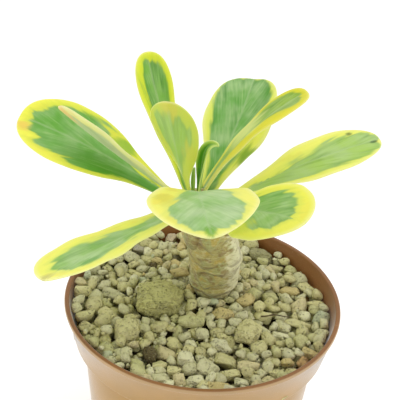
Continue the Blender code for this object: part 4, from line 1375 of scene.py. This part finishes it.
def leaf_material(leaf, paint, settings):
    """A variegated leaf: a streaked green middle that feathers into a yellow border."""
    shader = Shader(leaf.name + "_skin")
    flat = shader.node("ShaderNodeUVMap", {"uv_map": "Flat"})[0] * FLAT_SCALE
    across, along, _ = flat.parts()
    seed = float(sum(map(ord, leaf.name)) % 89)
    lean = math.radians(paint.veins)
    aside = abs(across)
    vein = along * math.sin(lean) - aside * math.cos(lean)
    run = along * math.cos(lean) + aside * math.sin(lean)
    side = across.rising(-0.1, 0.1) * 40
    depth, rim, under, span = (shader.number(name) for name in ("depth", "rim", "under", "span"))

    def streaks(scale, stretch, detail=2.0, shift=0.0):
        """Noise drawn out along the veins."""
        where = shader.vector(vein, run * (1 / stretch), side + (seed + shift))
        return shader.grain(where, scale, detail, 0.55)

    broad = streaks(0.42, 6.0, 1.0)
    fine = streaks(1.5, 12.0, 3.0, 7.0)
    patch = shader.grain(flat + (seed, 0.0, 0.0), 0.14, 2.0)
    inside = (depth + (broad - 0.5) * (paint.feather * 3.0) + (fine - 0.5) * (paint.feather * 0.9)
              + (patch - 0.5) * 1.4)
    green_mask = inside.rising(-0.5, 0.7)
    lane = (span * math.copysign(1.0, paint.band)).rising(0.0, 0.6) * abs(paint.band)
    lane = lane * along.falling(0.5 * leaf.length, 0.85 * leaf.length)
    bloom = patch.rising(0.3, 0.7) * paint.bloom + fine.rising(0.42, 0.68) * (paint.bloom * 0.35)
    rind = inside.falling(0.4, 3.0)
    dark = broad.falling(0.34, 0.54) * 0.5 + fine.falling(0.3, 0.45) * 0.4 + rind * 0.3
    green = shader.cover(rgb(*paint.green), (bloom * (1 - lane), settings.bloom),
                         (dark * paint.shade, settings.deep), (lane * 0.8, settings.lush),
                         (fine.rising(0.5, 0.8) * 0.3, settings.vein))
    warm = patch.rising(0.48, 0.62) * rim.rising(0.6, 2.2) * paint.gold
    turning = shader.mix(0.6, rgb(*paint.green), rgb(*paint.margin))
    margin = shader.cover(rgb(*paint.margin), (rim.falling(0.1, 1.8) * paint.cream, settings.cream),
                          (warm, settings.gold), (inside.rising(-2.6, -0.2) * 0.5, turning),
                          (fine.falling(0.3, 0.46) * 0.25, turning))
    base = shader.mix(green_mask, margin, green)
    for spot_across, spot_along, radius, tone in paint.marks:
        away = ((across - spot_across) ** 2.0 + (along - spot_along) ** 2.0 * 0.4) ** 0.5
        away = away + (fine - 0.5) * radius + (broad - 0.5) * radius
        base = shader.mix(away.falling(0.3 * radius, radius) * 0.8, base, rgb(*tone))
    rib = aside.falling(0.1, 0.6) * 0.3
    base = shader.cover(base, (rim.falling(0.05, 0.4) * 0.3, settings.cream),
                        (under * 0.25, settings.underside), (rib * green_mask, settings.bloom))
    height = fine * 0.7 + broad * 0.5
    rough = settings.gloss + (fine - 0.5) * 0.15
    return shader.finish(base, rough, height, 0.1, Subsurface_Weight=settings.glow,
                         Subsurface_Radius=(0.9, 1.0, 0.35), Subsurface_Scale=1.2 * MM,
                         Specular_IOR_Level=0.35)


class EUPHORBIA_OT_leaves(bpy.types.Operator):
    """Grow the variegated leaves and the young ones in the crown"""
    bl_idname = "euphorbia.leaves"
    bl_label = "Leaves"

    def execute(self, context):
        settings = context.scene.euphorbia_leaves
        for leaf in LEAVES:
            paint = PAINTS[leaf.name]
            mesh = Blade(leaf, settings).mesh(paint.border)
            piece = add_object(leaf.name + "_blade", mesh, leaf_material(leaf, paint, settings))
            declare(piece, leaf.name)
        return {"FINISHED"}


class EUPHORBIA_OT_twig(bpy.types.Operator):
    """Lay the dry twig on the gravel"""
    bl_idname = "euphorbia.twig"
    bl_label = "Twig"

    def execute(self, context):
        curve = bpy.data.curves.new("dry_twig", "CURVE")
        curve.dimensions = "3D"
        curve.bevel_depth = TWIG_RADIUS
        curve.bevel_resolution = 3
        curve.use_fill_caps = True
        spline = curve.splines.new("POLY")
        spline.points.add(TWIG_STEPS)
        for index, point in enumerate(spline.points):
            at = index / TWIG_STEPS
            spot = [smooth_value([place[axis] * MM for place in TWIG], at) for axis in range(3)]
            point.co = (*spot, 1.0)
            point.radius = 1.0 - 0.5 * at + 0.25 * noise.noise(Vector((at * 9.0, 3.0, 0.0)))
        guide = bpy.data.objects.new("dry_twig_guide", curve)
        bpy.context.scene.collection.objects.link(guide)
        mesh = evaluated_mesh(guide)
        bpy.data.objects.remove(guide, do_unlink=True)
        turn_outwards(mesh, merge=0.001 * MM)
        settings = context.scene.euphorbia_gravel
        shader = Shader("dry_wood")
        where = shader.place()
        base = shader.mix(shader.grain(where, 1.2, 4.0), settings.twig, settings.worn_twig)
        finish = shader.finish(base, 0.8, shader.grain(where, 4.0), 0.1)
        twig = add_object("dry_twig", mesh, finish)
        twig.data.shade_smooth()
        declare(twig, None)
        return {"FINISHED"}


def aim(place, target):
    """The matrix of something at a place that looks at a target along its own -Z."""
    place, target = Vector(place), Vector(target)
    turn = (target - place).to_track_quat("-Z", "Y")
    return Matrix.Translation(place) @ turn.to_matrix().to_4x4()


def add_softbox(name, place, side, watts):
    """A large square light that points at the plant."""
    light = bpy.data.lights.new(name, "AREA")
    light.shape = "SQUARE"
    light.size = side
    light.energy = watts
    made = bpy.data.objects.new(name, light)
    bpy.context.scene.collection.objects.link(made)
    made.matrix_world = aim(place, LIGHT_TARGET)


class EUPHORBIA_OT_studio(bpy.types.Operator):
    """Set up the pale floor, the white surroundings, the soft lights and the camera"""
    bl_idname = "euphorbia.studio"
    bl_label = "Studio"

    def execute(self, context):
        settings = context.scene.euphorbia_studio
        scene = context.scene
        scene.view_settings.view_transform = "Standard"
        self.add_floor(settings)
        world = bpy.data.worlds.new("White surroundings")
        world.use_nodes = True
        background = world.node_tree.nodes["Background"]
        background.inputs["Color"].default_value = (1.0, 1.0, 1.0, 1.0)
        background.inputs["Strength"].default_value = settings.surroundings
        scene.world = world
        for name, place, side, key in SOFTBOXES:
            add_softbox(name, place, side, getattr(settings, key))
        self.add_camera(settings)
        return {"FINISHED"}

    def add_floor(self, settings):
        """A large floor that is as white as the surroundings."""
        bm = bmesh.new()
        bmesh.ops.create_grid(bm, x_segments=8, y_segments=8, size=4.0)
        shader = Shader("pale_floor")
        cloud = shader.grain(shader.place() * 0.01, 1.0)
        base = shader.mix(cloud * 0.04, settings.floor, FLOOR_CLOUD)
        finish = shader.finish(base, 0.9, Specular_IOR_Level=0.0, Emission_Strength=0.25,
                               Emission_Color=(1.0, 1.0, 1.0, 1.0))
        floor = add_object("studio_floor", mesh_from(bm, "studio_floor"), finish)

    def add_camera(self, settings):
        """A camera at the photograph's place, angle and slight roll."""
        camera = bpy.data.cameras.new("Photo camera")
        camera.lens = settings.lens
        camera.sensor_width = SENSOR_WIDTH
        forward = Vector(CAMERA_FORWARD).normalized()
        level = forward.cross(Vector((0.0, 0.0, 1.0))).normalized()
        roll = math.radians(CAMERA_ROLL)
        up = level.cross(forward) * math.cos(roll) + level * math.sin(roll)
        right = forward.cross(up)
        made = bpy.data.objects.new("Photo camera", camera)
        bpy.context.scene.collection.objects.link(made)
        turn = Matrix((right, up, -forward)).transposed().to_4x4()
        made.matrix_world = Matrix.Translation(CAMERA_PLACE) @ turn
        bpy.context.scene.camera = made


OPERATORS = (EUPHORBIA_OT_studio, EUPHORBIA_OT_pot, EUPHORBIA_OT_gravel, EUPHORBIA_OT_stones,
             EUPHORBIA_OT_trunk, EUPHORBIA_OT_leaves, EUPHORBIA_OT_twig)
SETTINGS = {
    "euphorbia_pot": PotSettings,
    "euphorbia_gravel": GravelSettings,
    "euphorbia_trunk": TrunkSettings,
    "euphorbia_leaves": LeafSettings,
    "euphorbia_studio": StudioSettings,
}


class EUPHORBIA_PT_pieces(bpy.types.Panel):
    """List the pieces of the plant with their settings"""
    bl_idname = "EUPHORBIA_PT_pieces"
    bl_label = "Potted Euphorbia"
    bl_space_type = "VIEW_3D"
    bl_region_type = "UI"
    bl_category = "Euphorbia"

    def draw(self, context):
        for operator in OPERATORS:
            self.layout.operator(operator.bl_idname)
        for name, group in SETTINGS.items():
            box = self.layout.box()
            box.label(text=group.__doc__)
            for key in group.__annotations__:
                box.prop(getattr(context.scene, name), key)


def register():
    """Make the settings, the operators and the panel known to Blender."""
    for name, group in SETTINGS.items():
        bpy.utils.register_class(group)
        setattr(bpy.types.Scene, name, bpy.props.PointerProperty(type=group))
    for entry in (*OPERATORS, EUPHORBIA_PT_pieces):
        bpy.utils.register_class(entry)


def unregister():
    """Take the panel, the operators and the settings away again."""
    for entry in (EUPHORBIA_PT_pieces, *reversed(OPERATORS)):
        bpy.utils.unregister_class(entry)
    for name, group in SETTINGS.items():
        delattr(bpy.types.Scene, name)
        bpy.utils.unregister_class(group)


def main():
    """Register the add-on and make every piece."""
    register()
    bpy.ops.euphorbia.studio()
    bpy.ops.euphorbia.pot()
    bpy.ops.euphorbia.gravel()
    bpy.ops.euphorbia.stones()
    bpy.ops.euphorbia.trunk()
    bpy.ops.euphorbia.leaves()
    bpy.ops.euphorbia.twig()


if __name__ == "__main__":
    main()
